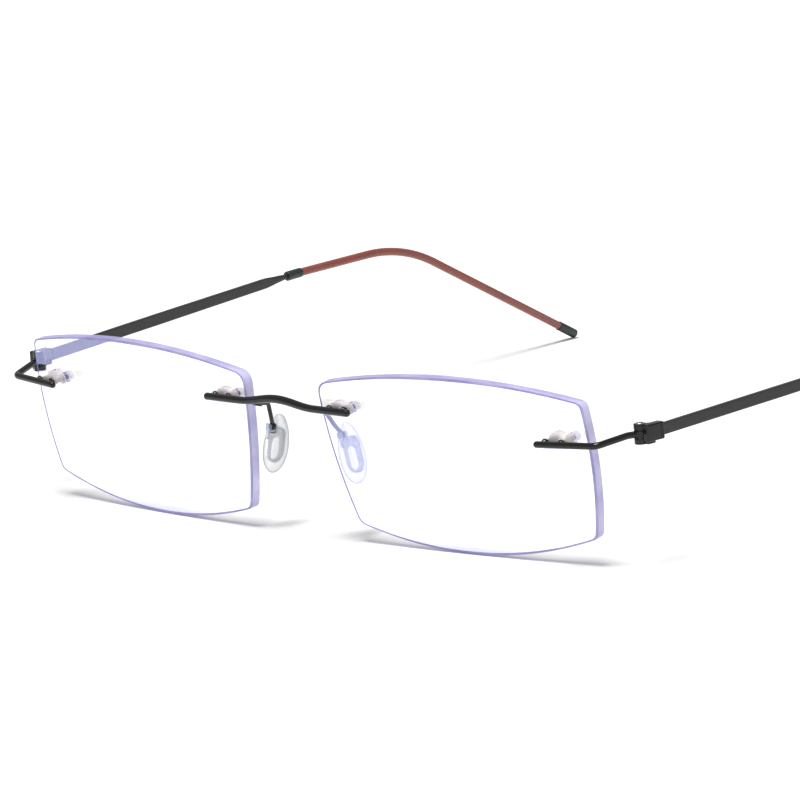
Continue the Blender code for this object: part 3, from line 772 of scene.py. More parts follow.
class RingTree(Tree):
    """Sets a small ring on each pin, square to it."""

    NAME = "rings_on_pins"
    INPUTS = {"Pins": "Geometry", "Ring radius": "Float", "Ring wire": "Float"}

    @classmethod
    def draw(
        cls, tree: bpy.types.NodeTree, given: bpy.types.NodeOutputs
    ) -> bpy.types.NodeSocket:
        """Draws the rings and returns their geometry socket."""
        circle, section = (
            add_node(
                tree,
                "GeometryNodeCurvePrimitiveCircle",
                inputs={"Resolution": sides, "Radius": given[size]},
            ).outputs[0]
            for sides, size in ((40, "Ring radius"), (14, "Ring wire"))
        )
        swept = {"Curve": circle, "Profile Curve": section}
        ring = add_node(tree, "GeometryNodeCurveToMesh", inputs=swept)
        along = add_node(
            tree,
            "GeometryNodeInputNamedAttribute",
            {"data_type": "FLOAT_VECTOR"},
            {"Name": "pin_axis"},
        ).outputs["Attribute"]
        turn = add_node(
            tree, "FunctionNodeAlignRotationToVector", {"axis": "Z"}, {"Vector": along}
        )
        spread = {"Points": given["Pins"], "Instance": ring.outputs[0], "Rotation": turn.outputs[0]}
        return add_node(tree, "GeometryNodeInstanceOnPoints", inputs=spread).outputs[0]


def run_tree(
    obj: bpy.types.Object, kind: type[Tree], finish: Finish, values: dict[str, Any]
) -> bpy.types.Object:
    """Runs a Geometry Nodes tree on an object and keeps the plain mesh.

    Args:
        obj: The object that holds the path or points.
        kind: The tree.
        finish: The shape's finish.
        values: A value for each other input.

    Returns:
        The same object with the result as its mesh.
    """
    step = obj.modifiers.new("nodes", "NODES")
    step.node_group = kind.group()
    wanted = {**values, "Finish": finish.material()}
    for item in step.node_group.interface.items_tree:
        if item.item_type == "SOCKET" and item.in_out == "INPUT" and item.name in wanted:
            step[item.identifier] = wanted[item.name]
    return bake_modifiers(obj)


def path_object(
    name: str, points: Sequence[Vector], edges: bool, attribute: str, kind: str,
    values: Sequence[Any],
) -> bpy.types.Object:
    """Makes a mesh of points, which a tree then reads.

    Args:
        name: The object's name.
        points: Places in drawing millimetres.
        edges: Whether neighbouring points are joined.
        attribute: Name of a value stored at each point.
        kind: FLOAT or FLOAT_VECTOR.
        values: The values.

    Returns:
        The object.
    """
    mesh = bpy.data.meshes.new(name)
    places = [(point - ORIGIN) * MM for point in points]
    runs = [(i, i + 1) for i in range(len(points) - 1)] if edges else []
    mesh.from_pydata(places, runs, [])
    stored = mesh.attributes.new(attribute, kind, "POINT")
    for slot, value in zip(stored.data, values):
        if kind == "FLOAT":
            slot.value = value
        else:
            slot.vector = value
    return new_object(name, mesh)


def wire(
    name: str,
    points: Sequence[Vector],
    radius: float,
    finish: Finish,
    domed: tuple[bool, bool] = (True, True),
    sides: int = 40,
    swell: Callable[[Vector], float] | None = None,
) -> bpy.types.Object:
    """Sweeps a round wire along points.

    Args:
        name: The object's name.
        points: The path in drawing millimetres.
        radius: The wire's radius.
        finish: Its finish.
        domed: Which of its ends are round domes.
        sides: Number of sides.
        swell: Gives the radius's factor at a point, where the wire isn't even.

    Returns:
        The wire's object.
    """
    path = list(points)
    scales = [swell(point) if swell else 1.0 for point in path]
    for is_start in (True, False):
        if not domed[0 if is_start else 1]:
            continue
        if is_start:
            tip, neighbour, base = path[0], path[1], scales[0]
        else:
            tip, neighbour, base = path[-1], path[-2], scales[-1]
        outward = (tip - neighbour).normalized()
        dome = [(math.sin(math.radians(a)), math.cos(math.radians(a))) for a in range(0, 90, 12)]
        added = [tip + outward * radius * base * (reach - 1) for reach, _ in dome]
        sizes = [base * share for _, share in dome]
        if is_start:
            path = added[::-1] + path[1:]
            scales = sizes[::-1] + scales[1:]
        else:
            path = path[:-1] + added
            scales = scales[:-1] + sizes
    guide = path_object(name, path, True, "taper", "FLOAT", scales)
    return run_tree(guide, WireTree, finish, {"Radius": radius * MM, "Sides": sides})


# ------------------------------------------------------------------ lenses and wire mounts


@dataclass(frozen=True)
class Hinge:
    """The left hinge, where the endpiece's eye sits between the clamp's two knuckles."""

    spot: Spot = (69.3, 10.49, 21.6)
    radius: float = 1.02
    eye_half: float = 0.55
    bore: float = 0.48


@dataclass
class LensShape:
    """The left lens's outline and surfaces, in drawing millimetres."""

    corners: tuple[tuple[float, float], ...] = (
        (8.35, 26.47), (63.15, 26.97), (61.80, 4.62), (12.52, 3.29),
    )
    rise: tuple[float, ...] = (2.65, 1.10, 3.86, 0.88)  # bow of the four sides
    rounding: tuple[float, ...] = (1.9, 0.9, 0.9, 1.0)
    middle: tuple[float, float] = (36.0, 16.0)
    middle_y: float = 2.49
    wrap: float = 0.082
    tilt: float = 0.1416
    radius: float = 526.0
    thickness: float = 1.40
    edge_growth: float = 0.0004
    hole_radius: float = 0.90
    side_points: int = 36
    corner_points: int = 7
    rings: int = 10
    chamfer: float = 0.12
    painted_outline_width: float = 0.34  # of the violet line painted round the front: a painted reflection of the coating

    def front_y(self, x: float, z: float) -> float:
        """Returns the depth of the front surface."""
        across = x - self.middle[0]
        up = z - self.middle[1]
        bulge = (across * across + up * up) / (2 * self.radius)
        return self.middle_y + self.wrap * across - self.tilt * up + bulge

    def normal(self, x: float, z: float) -> Vector:
        """Returns the direction straight back through the lens."""
        across = self.wrap + (x - self.middle[0]) / self.radius
        up = -self.tilt + (z - self.middle[1]) / self.radius
        return Vector((-across, 1.0, -up)).normalized()

    def depth(self, x: float, z: float) -> float:
        """Returns the lens's thickness at a point."""
        reach = (x - self.middle[0]) ** 2 + (z - self.middle[1]) ** 2
        return self.thickness + self.edge_growth * reach

    def outline(self) -> list[Vector]:
        """Returns the front outline as points of x and z."""
        sides = []
        for i, rise in enumerate(self.rise):
            start = Vector(self.corners[i])
            end = Vector(self.corners[(i + 1) % 4])
            along = end - start
            out = Vector((-along.y, along.x)).normalized()
            cut_start = self.rounding[i] / along.length
            cut_end = self.rounding[(i + 1) % 4] / along.length
            points = []
            for step in range(self.side_points + 1):
                t = cut_start + (1 - cut_start - cut_end) * step / self.side_points
                points.append(start + along * t + out * rise * 4 * t * (1 - t))
            sides.append(points)
        outline: list[Vector] = []
        for i, points in enumerate(sides):
            before = sides[i - 1][-1]
            corner = Vector(self.corners[i])
            for step in range(1, self.corner_points):
                t = step / self.corner_points
                low = before.lerp(corner, t)
                high = corner.lerp(points[0], t)
                outline.append(low.lerp(high, t))
            outline.extend(points)
        return outline

    def mesh(self) -> bmesh.types.BMesh:
        """Makes the undrilled lens: coated front, back, and a ground edge with chamfers."""
        outline = self.outline()
        middle = Vector(self.middle)
        back_dir = self.normal(*self.middle)
        bm = bmesh.new()

        def ring(share: float, rear: bool, sunk: float, cut: float) -> list[bmesh.types.BMVert]:
            """Makes a ring at a share of the outline, sunk below the front or the rear face."""
            made = []
            for point in outline:
                reach = (point - middle).length
                inset = cut / reach
                x, z = middle.lerp(point, share * (1 - inset))
                spot = Vector((x, self.front_y(x, z), z))
                spot += back_dir * (self.depth(x, z) - sunk if rear else sunk)
                made.append(bm.verts.new(spot))
            return made

        count = len(outline)
        rims = []
        for index, rear in enumerate((False, True)):
            rings = [
                ring((i + 1) / self.rings, rear, 0.0, self.chamfer + self.painted_outline_width)
                for i in range(self.rings)
            ]
            rings.append(ring(1.0, rear, 0.0, self.chamfer))
            centre = Vector((middle.x, self.front_y(*middle), middle.y))
            if rear:
                centre += back_dir * self.depth(*middle)
            hub = bm.verts.new(centre)
            for i in range(count):
                j = (i + 1) % count
                fan = bm.faces.new((hub, rings[0][i], rings[0][j]))
                fan.material_index = index
                for inner, outer in zip(rings, rings[1:]):
                    face = bm.faces.new((inner[i], outer[i], outer[j], inner[j]))
                    # The outermost band of the front takes the rim finish: the painted violet
                    # reflection of the coating.
                    is_outline = outer is rings[-1] and not rear
                    face.material_index = LENS_RIM_INDEX if is_outline else index
            rims.append(rings[-1])
        edge = [rims[0], *(ring(1.0, rear, self.chamfer, 0.0) for rear in (False, True)), rims[1]]
        for low, high in zip(edge, edge[1:]):
            for i in range(count):
                j = (i + 1) % count
                band = bm.faces.new((low[i], high[i], high[j], low[j]))
                # The front chamfer takes the rim finish too: painted violet reflection.
                band.material_index = LENS_RIM_INDEX if low is edge[0] else LENS_EDGE_INDEX
        return bm


@dataclass
class Seat:
    """Where two pins of a wire pass through a lens: x from pin to pin, y back from its front."""

    place: Matrix
    offsets: list[float]
    depths: list[float]
    lens_depth: float

    @classmethod
    def under(cls, lens: LensShape, pins: Sequence[Vector]) -> Seat:
        """Finds the seat of two points on a wire's axis.

        Args:
            lens: The lens behind the wire.
            pins: The two points.

        Returns:
            The seat.
        """
        middle = (pins[0] + pins[1]) / 2
        normal = lens.normal(middle.x, middle.z)
        gap = lens.front_y(middle.x, middle.z) - middle.y
        seat = middle + normal * gap
        for _ in range(4):
            gap += (lens.front_y(seat.x, seat.z) - seat.y) * normal.y
            seat = middle + normal * gap
        place = frame_matrix(seat, pins[1] - pins[0], normal)
        inverse = place.inverted()
        local = [inverse @ pin for pin in pins]
        return cls(place, [p.x for p in local], [p.y for p in local], lens.depth(seat.x, seat.z))


@dataclass
class Front:
    """The lenses, their bushes, and the wires and pad arms that join them."""

    lens: LensShape = field(default_factory=LensShape)
    bridge_y: float = -1.58
    bridge_z: float = 22.5
    bridge_end: float = 16.66
    bridge_arch: float = 0.90
    arch_half: float = 8.6
    bridge_radius: float = 0.62
    bridge_swell: float = 1.10  # the wire is a little thicker where it is arched
    end_radius: float = 0.55
    end_start: Spot = (55.35, 0.76, 20.49)
    end_bend: Spot = (66.9, 2.79, 20.79)
    bend_radius: float = 1.7
    hinge: Hinge = field(default_factory=Hinge)
    hinge_run: float = 2.4  # level stretch of the wire before the hinge's axis
    pin_radius: float = 0.42
    pin_depth: float = 0.9  # how far a pin's rear end is sunk in its bush
    nasal_pins: tuple[float, float] = (11.65, 14.85)
    outer_pins: tuple[float, float] = (57.1, 60.2)
    bush_radius: float = 1.3
    barrel_radius: float = 0.84
    bore_radius: float = 0.48
    bush_tail: float = 0.4
    bush_front: Steps = ((0.26, 0.0), (0.12, 0.06), (0.03, 0.16), (0.0, 0.30))  # inset, depth
    bush_back: Steps = ((0.0, -0.12), (0.03, -0.04), (0.10, 0.0))
    ring_radius: float = 0.66
    ring_wire: float = 0.13
    bracket_x: float = 6.3
    bracket_rows: tuple[tuple[float, float, float, float], ...] = (
        (0.2, 21.35, 22.45, 0.50), (0.85, 21.2, 22.2, 0.45),
    )  # depth, bottom, top and half width of its two rear ends
    bracket_rounding: float = 0.14
    arm_start: tuple[float, float] = (0.91, 21.70)  # depth and height
    arm_bends: tuple[Spot, ...] = ((6.45, 2.7, 21.4), (7.35, 4.0, 18.6))
    arm_bend_radii: tuple[float, ...] = (1.2, 1.5)
    arm_radius: float = 0.36
    eye_radius: float = 0.62
    eye_bore: float = 0.30
    eye_half: float = 0.32

    def arch(self, x: float) -> float:
        """Returns the arch's share of its full rise: one at the middle, nothing at its ends."""
        share = min(1.0, abs(x) / self.arch_half)
        return 0.5 + 0.5 * math.cos(math.pi * share)

    def bridge_point(self, x: float) -> Vector:
        """Returns a point of the bridge wire's axis."""
        lift = self.bridge_arch * self.arch(x)
        return Vector((x, self.bridge_y, self.bridge_z + lift))

    def end_point(self, x: float) -> Vector:
        """Returns a point of the left endpiece wire's straight front run."""
        start = Vector(self.end_start)
        run = Vector(self.end_bend) - start
        return start + run * ((x - start.x) / run.x)

    def nasal_seat(self) -> Seat:
        """Returns the left lens's seat on the bridge wire."""
        return Seat.under(self.lens, [self.bridge_point(x) for x in self.nasal_pins])

    def outer_seat(self) -> Seat:
        """Returns the left lens's seat on the endpiece wire."""
        return Seat.under(self.lens, [self.end_point(x) for x in self.outer_pins])

    def add_lens(self, side: Side) -> bpy.types.Object:
        """Makes one drilled lens."""
        name = side.word + "_clear_lens"
        obj = to_object(
            name, self.lens.mesh(), (LENS_FRONT, LENS_BACK, LENS_EDGE, LENS_RIM), side.flip, 24.0
        )
        drills = []
        for seat in (self.nasal_seat(), self.outer_seat()):
            for offset in seat.offsets:
                ends = (offset, -2, 0), (offset, DRILL_END, 0)
                drill = cylinder(self.lens.hole_radius, *ends, 32)
                drills += solids([drill], LENS_EDGE, side.flip @ seat.place)
        combine(obj, drills, "DIFFERENCE")
        return hand_over(obj, "front", [side.word + "_lens"])

    def stadium(self, half: float, radius: float, y: float, steps: int = 14) -> list[Vector]:
        """Returns a ring round two points at half the bush's pin spacing either way."""
        ring = []
        for centre, start in ((half, -90), (-half, 90)):
            for i in range(steps + 1):
                angle = math.radians(start + 180 * i / steps)
                spot = (centre + radius * math.cos(angle), y, radius * math.sin(angle))
                ring.append(Vector(spot))
        return ring

    def add_bush(self, place: str, seat: Seat, wire_radius: float, side: Side) -> None:
        """Makes one clear twin bush.

        Args:
            place: Nasal or outer, for its name.
            seat: Where it sits.
            wire_radius: Radius of the wire that bears on it.
            side: The wearer's side.
        """
        name = f"{side.word}_{place}_bush"
        middle = sum(seat.offsets) / 2
        half = abs(seat.offsets[1] - seat.offsets[0]) / 2
        front = max(seat.depths) + wire_radius + SEAT_GAP
        turned = side.flip @ seat.place
        rings = [
            self.stadium(half, self.bush_radius - inset, start + depth)
            for start, curve in ((front, self.bush_front), (-SEAT_GAP, self.bush_back))
            for inset, depth in curve
        ]
        shift = Matrix.Translation((middle, 0, 0))
        bush = to_object(name + "_clear", loft(rings), (BUSH,), turned @ shift)
        tail = seat.lens_depth + self.bush_tail
        barrels = [
            cylinder(self.barrel_radius, (offset, -0.3, 0), (offset, tail, 0), 40, 0.12)
            for offset in seat.offsets
        ]
        bores = [
            cylinder(self.bore_radius, (offset, front - 1, 0), (offset, tail + 1, 0), 32)
            for offset in seat.offsets
        ]
        combine(bush, solids(barrels, BUSH, turned), "UNION")
        combine(bush, solids(bores, BUSH, turned), "DIFFERENCE")
        hand_over(bush, "front", [name])

    def weld_pins(self, target: bpy.types.Object, seat: Seat, side: Side) -> None:
        """Joins the two pins of a seat to their wire."""
        tail = seat.lens_depth + self.bush_tail - self.pin_depth
        pins = [
            cylinder(self.pin_radius, (offset, depth, 0), (offset, tail, 0), 32, 0.1)
            for offset, depth in zip(seat.offsets, seat.depths)
        ]
        combine(target, solids(pins, ENAMEL, side.flip @ seat.place), "UNION")

    def add_bridge(self) -> None:
        """Makes the arched bridge wire with its four pins."""
        steps = 56
        arch = [self.arch_half * (i / steps * 2 - 1) for i in range(steps + 1)]
        stations = [-self.bridge_end, *arch, self.bridge_end]

        def swell(point: Vector) -> float:
            """Returns how much thicker the wire is at a point."""
            return 1.0 + (self.bridge_swell - 1.0) * self.arch(point.x)

        bridge = wire(
            "enamelled_bridge", [self.bridge_point(x) for x in stations], self.bridge_radius,
            ENAMEL, swell=swell,
        )
        for side in Side:
            self.weld_pins(bridge, self.nasal_seat(), side)
        hand_over(bridge, "front", ["bridge_wire"])

    def add_endpiece(self, side: Side) -> None:
        """Makes one endpiece wire with its pins and hinge eye."""
        hinge = Vector(self.hinge.spot)
        bend = Vector(self.end_bend)
        ahead = Vector((bend.x - hinge.x, bend.y - hinge.y, 0)).normalized()
        level = hinge + ahead * self.hinge_run
        stop = hinge + ahead * (self.hinge.radius - 0.2)
        path = rounded_path([self.end_start, bend, level, stop], [self.bend_radius, 5.0], 4.0)
        path = [side.flip @ point for point in path]
        name = side.word + "_enamelled_endpiece"
        endpiece = wire(name, path, self.end_radius, ENAMEL, domed=(True, False))
        self.weld_pins(endpiece, self.outer_seat(), side)
        reach = Vector((0, 0, self.hinge.eye_half))
        eye = cylinder(self.hinge.radius, hinge - reach, hinge + reach, 64, 0.08)
        bore = cylinder(self.hinge.bore, hinge - reach * 3, hinge + reach * 3, 48)
        combine(endpiece, solids([eye], ENAMEL, side.flip), "UNION")
        combine(endpiece, solids([bore], ENAMEL, side.flip), "DIFFERENCE")
        hand_over(endpiece, "front", [side.word + "_endpiece"])

    def add_rings(self) -> None:
        """Makes the small black rings that seat each pin on its bush."""
        points = []
        axes = []
        for seat, radius in (
            (self.nasal_seat(), self.bridge_radius), (self.outer_seat(), self.end_radius),
        ):
            front = max(seat.depths) + radius + SEAT_GAP
            for side in Side:
                turned = side.flip @ seat.place
                for offset in seat.offsets:
                    points.append(turned @ Vector((offset, front - 0.05, 0)))
                    axes.append((turned.to_3x3() @ Vector((0, 1, 0))).normalized())
        rings = path_object("pin_rings", points, False, "pin_axis", "FLOAT_VECTOR", axes)
        sizes = {"Ring radius": self.ring_radius * MM, "Ring wire": self.ring_wire * MM}
        run_tree(rings, RingTree, ENAMEL, sizes)
        hand_over(rings, "front", [])

    def add_bracket(self, side: Side) -> None:
        """Makes the block brazed under the back of the bridge wire."""
        top = self.bridge_point(self.bracket_x).z
        rings = []
        for y, low, high, half in (
            (self.bridge_y + self.bridge_radius * 1.04 + SEAT_GAP, top - 0.75, top + 0.2, 0.55),
            *self.bracket_rows,
        ):
            x = self.bracket_x
            corners = ((x - half, low), (x + half, low), (x + half, high), (x - half, high))
            rings.append([Vector((cx, y, cz)) for cx, cz in corners])
        bracket = loft(rings)
        round_edges(bracket, bracket.edges, self.bracket_rounding, 4)
        obj = to_object(side.word + "_brazed_bracket", bracket, (ENAMEL,), side.flip)
        hand_over(obj, "front", [side.word + "_pad_bracket"])

    def add_arm(self, side: Side, pivot: Vector) -> None:
        """Makes one pad arm, from its bracket down to its eye.

        Args:
            side: The wearer's side.
            pivot: Where the left pad's rocking axis passes through the eye.
        """
        start = Vector((self.bracket_x, *self.arm_start))
        stop = pivot + Vector((-0.1, -0.05, 1)).normalized() * (self.eye_radius - 0.15)
        run = rounded_path([start, *self.arm_bends, stop], self.arm_bend_radii, 5.0)
        path = [side.flip @ point for point in run]
        name = side.word + "_enamelled_pad_arm"
        arm = wire(name, path, self.arm_radius, ENAMEL, domed=(False, False), sides=32)
        reach = Vector((0, self.eye_half, 0))
        eye = cylinder(self.eye_radius, pivot - reach, pivot + reach, 48, 0.06)
        bore = cylinder(self.eye_bore, pivot - reach * 4, pivot + reach * 4, 32)
        combine(arm, solids([eye], ENAMEL, side.flip), "UNION")
        combine(arm, solids([bore], ENAMEL, side.flip), "DIFFERENCE")
        hand_over(arm, "front", [side.word + "_pad_arm"])

    def build(self, pivot: Vector) -> None:
        """Makes every piece of the front.

        Args:
            pivot: The left pad's rocking point.
        """
        self.add_bridge()
        self.add_rings()
        for side in Side:
            self.add_lens(side)
            self.add_bush("nasal", self.nasal_seat(), self.bridge_radius, side)
            self.add_bush("outer", self.outer_seat(), self.end_radius, side)
            self.add_endpiece(side)
            self.add_bracket(side)
            self.add_arm(side, pivot)


# ------------------------------------------------------------------ nose pads


@dataclass
class NosePads:
    """The soft pads and the stiff loops in them, in each pad's own frame."""

    middle: Spot = (8.65, 5.95, 13.9)
    lean_deg: float = 13.0
    half_height: float = 5.1
    half_width: float = 2.7
    thickness: float = 1.7
    drop: float = 0.13  # how much narrower the top is, and wider the bottom
    levels: int = 15
    front_power: float = 0.62  # crown of the face towards the nose; less is flatter
    back_power: float = 0.30
    eye_spot: Spot = (0.0, -1.3, 3.2)
    insert_spot: Spot = (0.0, 0.2, -0.3)
    insert_half_height: float = 3.0
    insert_half_width: float = 1.75
    slot_half_width: float = 1.05
    slot_half_height: float = 2.0
    slot_spot: Spot = (0.0, -0.05, -0.85)
    insert_thickness: float = 0.45
    insert_face: float = 0.45  # depth of its outer face from the middle of the pad
    eye_radius: float = 0.62
    cheek_near: float = 0.39
    cheek_far: float = 0.69
    post_radius: float = 0.24
    cheek_drop: float = 0.26  # below the arm's eye
    cheek_rise: float = 0.45  # above the rocking point
    cheek_front: float = -0.4
    notch_half: float = 0.80
    notch_drop: float = 0.33  # below the arm's eye
    groove_half: float = 0.75  # of the groove that the insert's crossbar lies in
    groove_depth: float = 0.42
    groove_low: float = 1.1

    def place(self) -> Matrix:
        """Returns the left pad's frame: x away from the nose, y back, z up."""
        lean = Matrix.Rotation(math.radians(-self.lean_deg), 4, "Y")
        return Matrix.Translation(self.middle) @ lean

    def pivot(self) -> Vector:
        """Returns the left pad's rocking point."""
        return self.place() @ Vector(self.eye_spot)

    def outline(self, scale: float, count: int = 64) -> list[tuple[float, float]]:
        """Returns the drop-shaped outline at a scale, as y and z."""
        points = []
        for i in range(count):
            angle = 2 * math.pi * i / count
            up = math.sin(angle)
            width = self.half_width * (1.0 - self.drop * up)
            spot = (math.cos(angle) * width * scale, up * self.half_height * scale)
            points.append(spot)
        return points

    def slot_ring(self, width: float, height: float, x: float, steps: int = 12) -> list[Vector]:
        """Returns an upright rounded slot outline at depth x."""
        straight = height - width
        ring = []
        for centre, start in ((straight, 0), (-straight, 180)):
            for i in range(steps + 1):
                angle = math.radians(start + 180 * i / steps)
                spot = (x, width * math.cos(angle), centre + width * math.sin(angle))
                ring.append(Vector(spot))
        return ring

    def plate(self, grow: float, rounding: float) -> bmesh.types.BMesh:
        """Makes the insert's flat plate, or its pocket when grown."""
        outer = self.insert_face
        inner = outer - self.insert_thickness - grow
        width = self.insert_half_width + grow
        height = self.insert_half_height + grow
        levels = [
            (inner, rounding), (inner + rounding * 0.3, rounding * 0.3),
            (inner + rounding, 0.0), (outer - rounding, 0.0),
            (outer - rounding * 0.3, rounding * 0.3), (outer, rounding),
        ]
        if not rounding:
            levels = [(inner, 0.0), (3.0, 0.0)]
        made = loft([self.slot_ring(width - cut, height - cut, x) for x, cut in levels])
        bmesh.ops.translate(made, vec=self.insert_spot, verts=made.verts)
        return made

    def add_pad(self, side: Side) -> None:
        """Makes one soft pad, crowned towards the nose."""
        name = side.word + "_silicone_pad"
        half = self.thickness / 2
        rings = []
        for i in range(self.levels):
            angle = math.radians(-90 + 180 * (i + 0.5) / self.levels)
            x = half * math.sin(angle)
            share = math.cos(angle) ** (self.front_power if x < 0 else self.back_power)
            rings.append([Vector((x, y, z)) for y, z in self.outline(share)])
        turned = side.flip @ self.place()
        pad = to_object(name, loft(rings), (SILICONE,), turned, 60.0)
        middle = self.eye_spot[1]
        notch = block(
            (-3, middle - self.notch_half, self.eye_spot[2] - self.eye_radius - self.notch_drop),
            (3, middle + self.notch_half, 9), 0.25,
        )
        bar = block(
            (self.insert_face - self.groove_depth, middle - self.groove_half, self.groove_low),
            (3, middle + self.groove_half, self.eye_spot[2]),
        )
        cuts = [self.plate(0.05, 0.0), notch, bar]
        combine(pad, solids(cuts, SILICONE, turned), "DIFFERENCE")
        hand_over(pad, side.word + "_pad", [side.word + "_nose_pad"])

    def add_insert(self, side: Side) -> None:
        """Makes one stiff loop with its cheeks and post."""
        name = side.word + "_nylon_insert"
        turned = side.flip @ self.place()
        insert = to_object(name, self.plate(0.0, 0.1), (NYLON,), turned)
        middle, rise = self.eye_spot[1], self.eye_spot[2]
        outer = self.thickness / 2
        low = rise - self.eye_radius - self.cheek_drop
        high = rise + self.cheek_rise
        inside = self.cheek_far - 0.05
        face = self.insert_face
        extras = [block((face - 0.33, middle - inside, 1.2),
                        (face - 0.06, middle + inside, low + 0.2))]
        for start, end in ((-self.cheek_far, -self.cheek_near),
                           (self.cheek_near, self.cheek_far)):
            ends = (self.cheek_front, middle + start, low), (outer, middle + end, high)
            extras.append(block(*ends, 0.1))
        reach = self.cheek_near + 0.15
        post = cylinder(
            self.post_radius, (0, middle - reach, rise), (0, middle + reach, rise), 32
        )
        extras.append(post)
        slot = loft([
            self.slot_ring(self.slot_half_width, self.slot_half_height, x) for x in (-1.0, 3.0)
        ])
        bmesh.ops.translate(slot, vec=self.slot_spot, verts=slot.verts)
        combine(insert, solids(extras, NYLON, turned), "UNION")
        combine(insert, solids([slot], NYLON, turned), "DIFFERENCE")
        hand_over(insert, side.word + "_pad", [side.word + "_pad_insert"])

    def build(self) -> None:
        """Makes both pads."""
        for side in Side:
            self.add_pad(side)
            self.add_insert(side)


# ------------------------------------------------------------------ temples


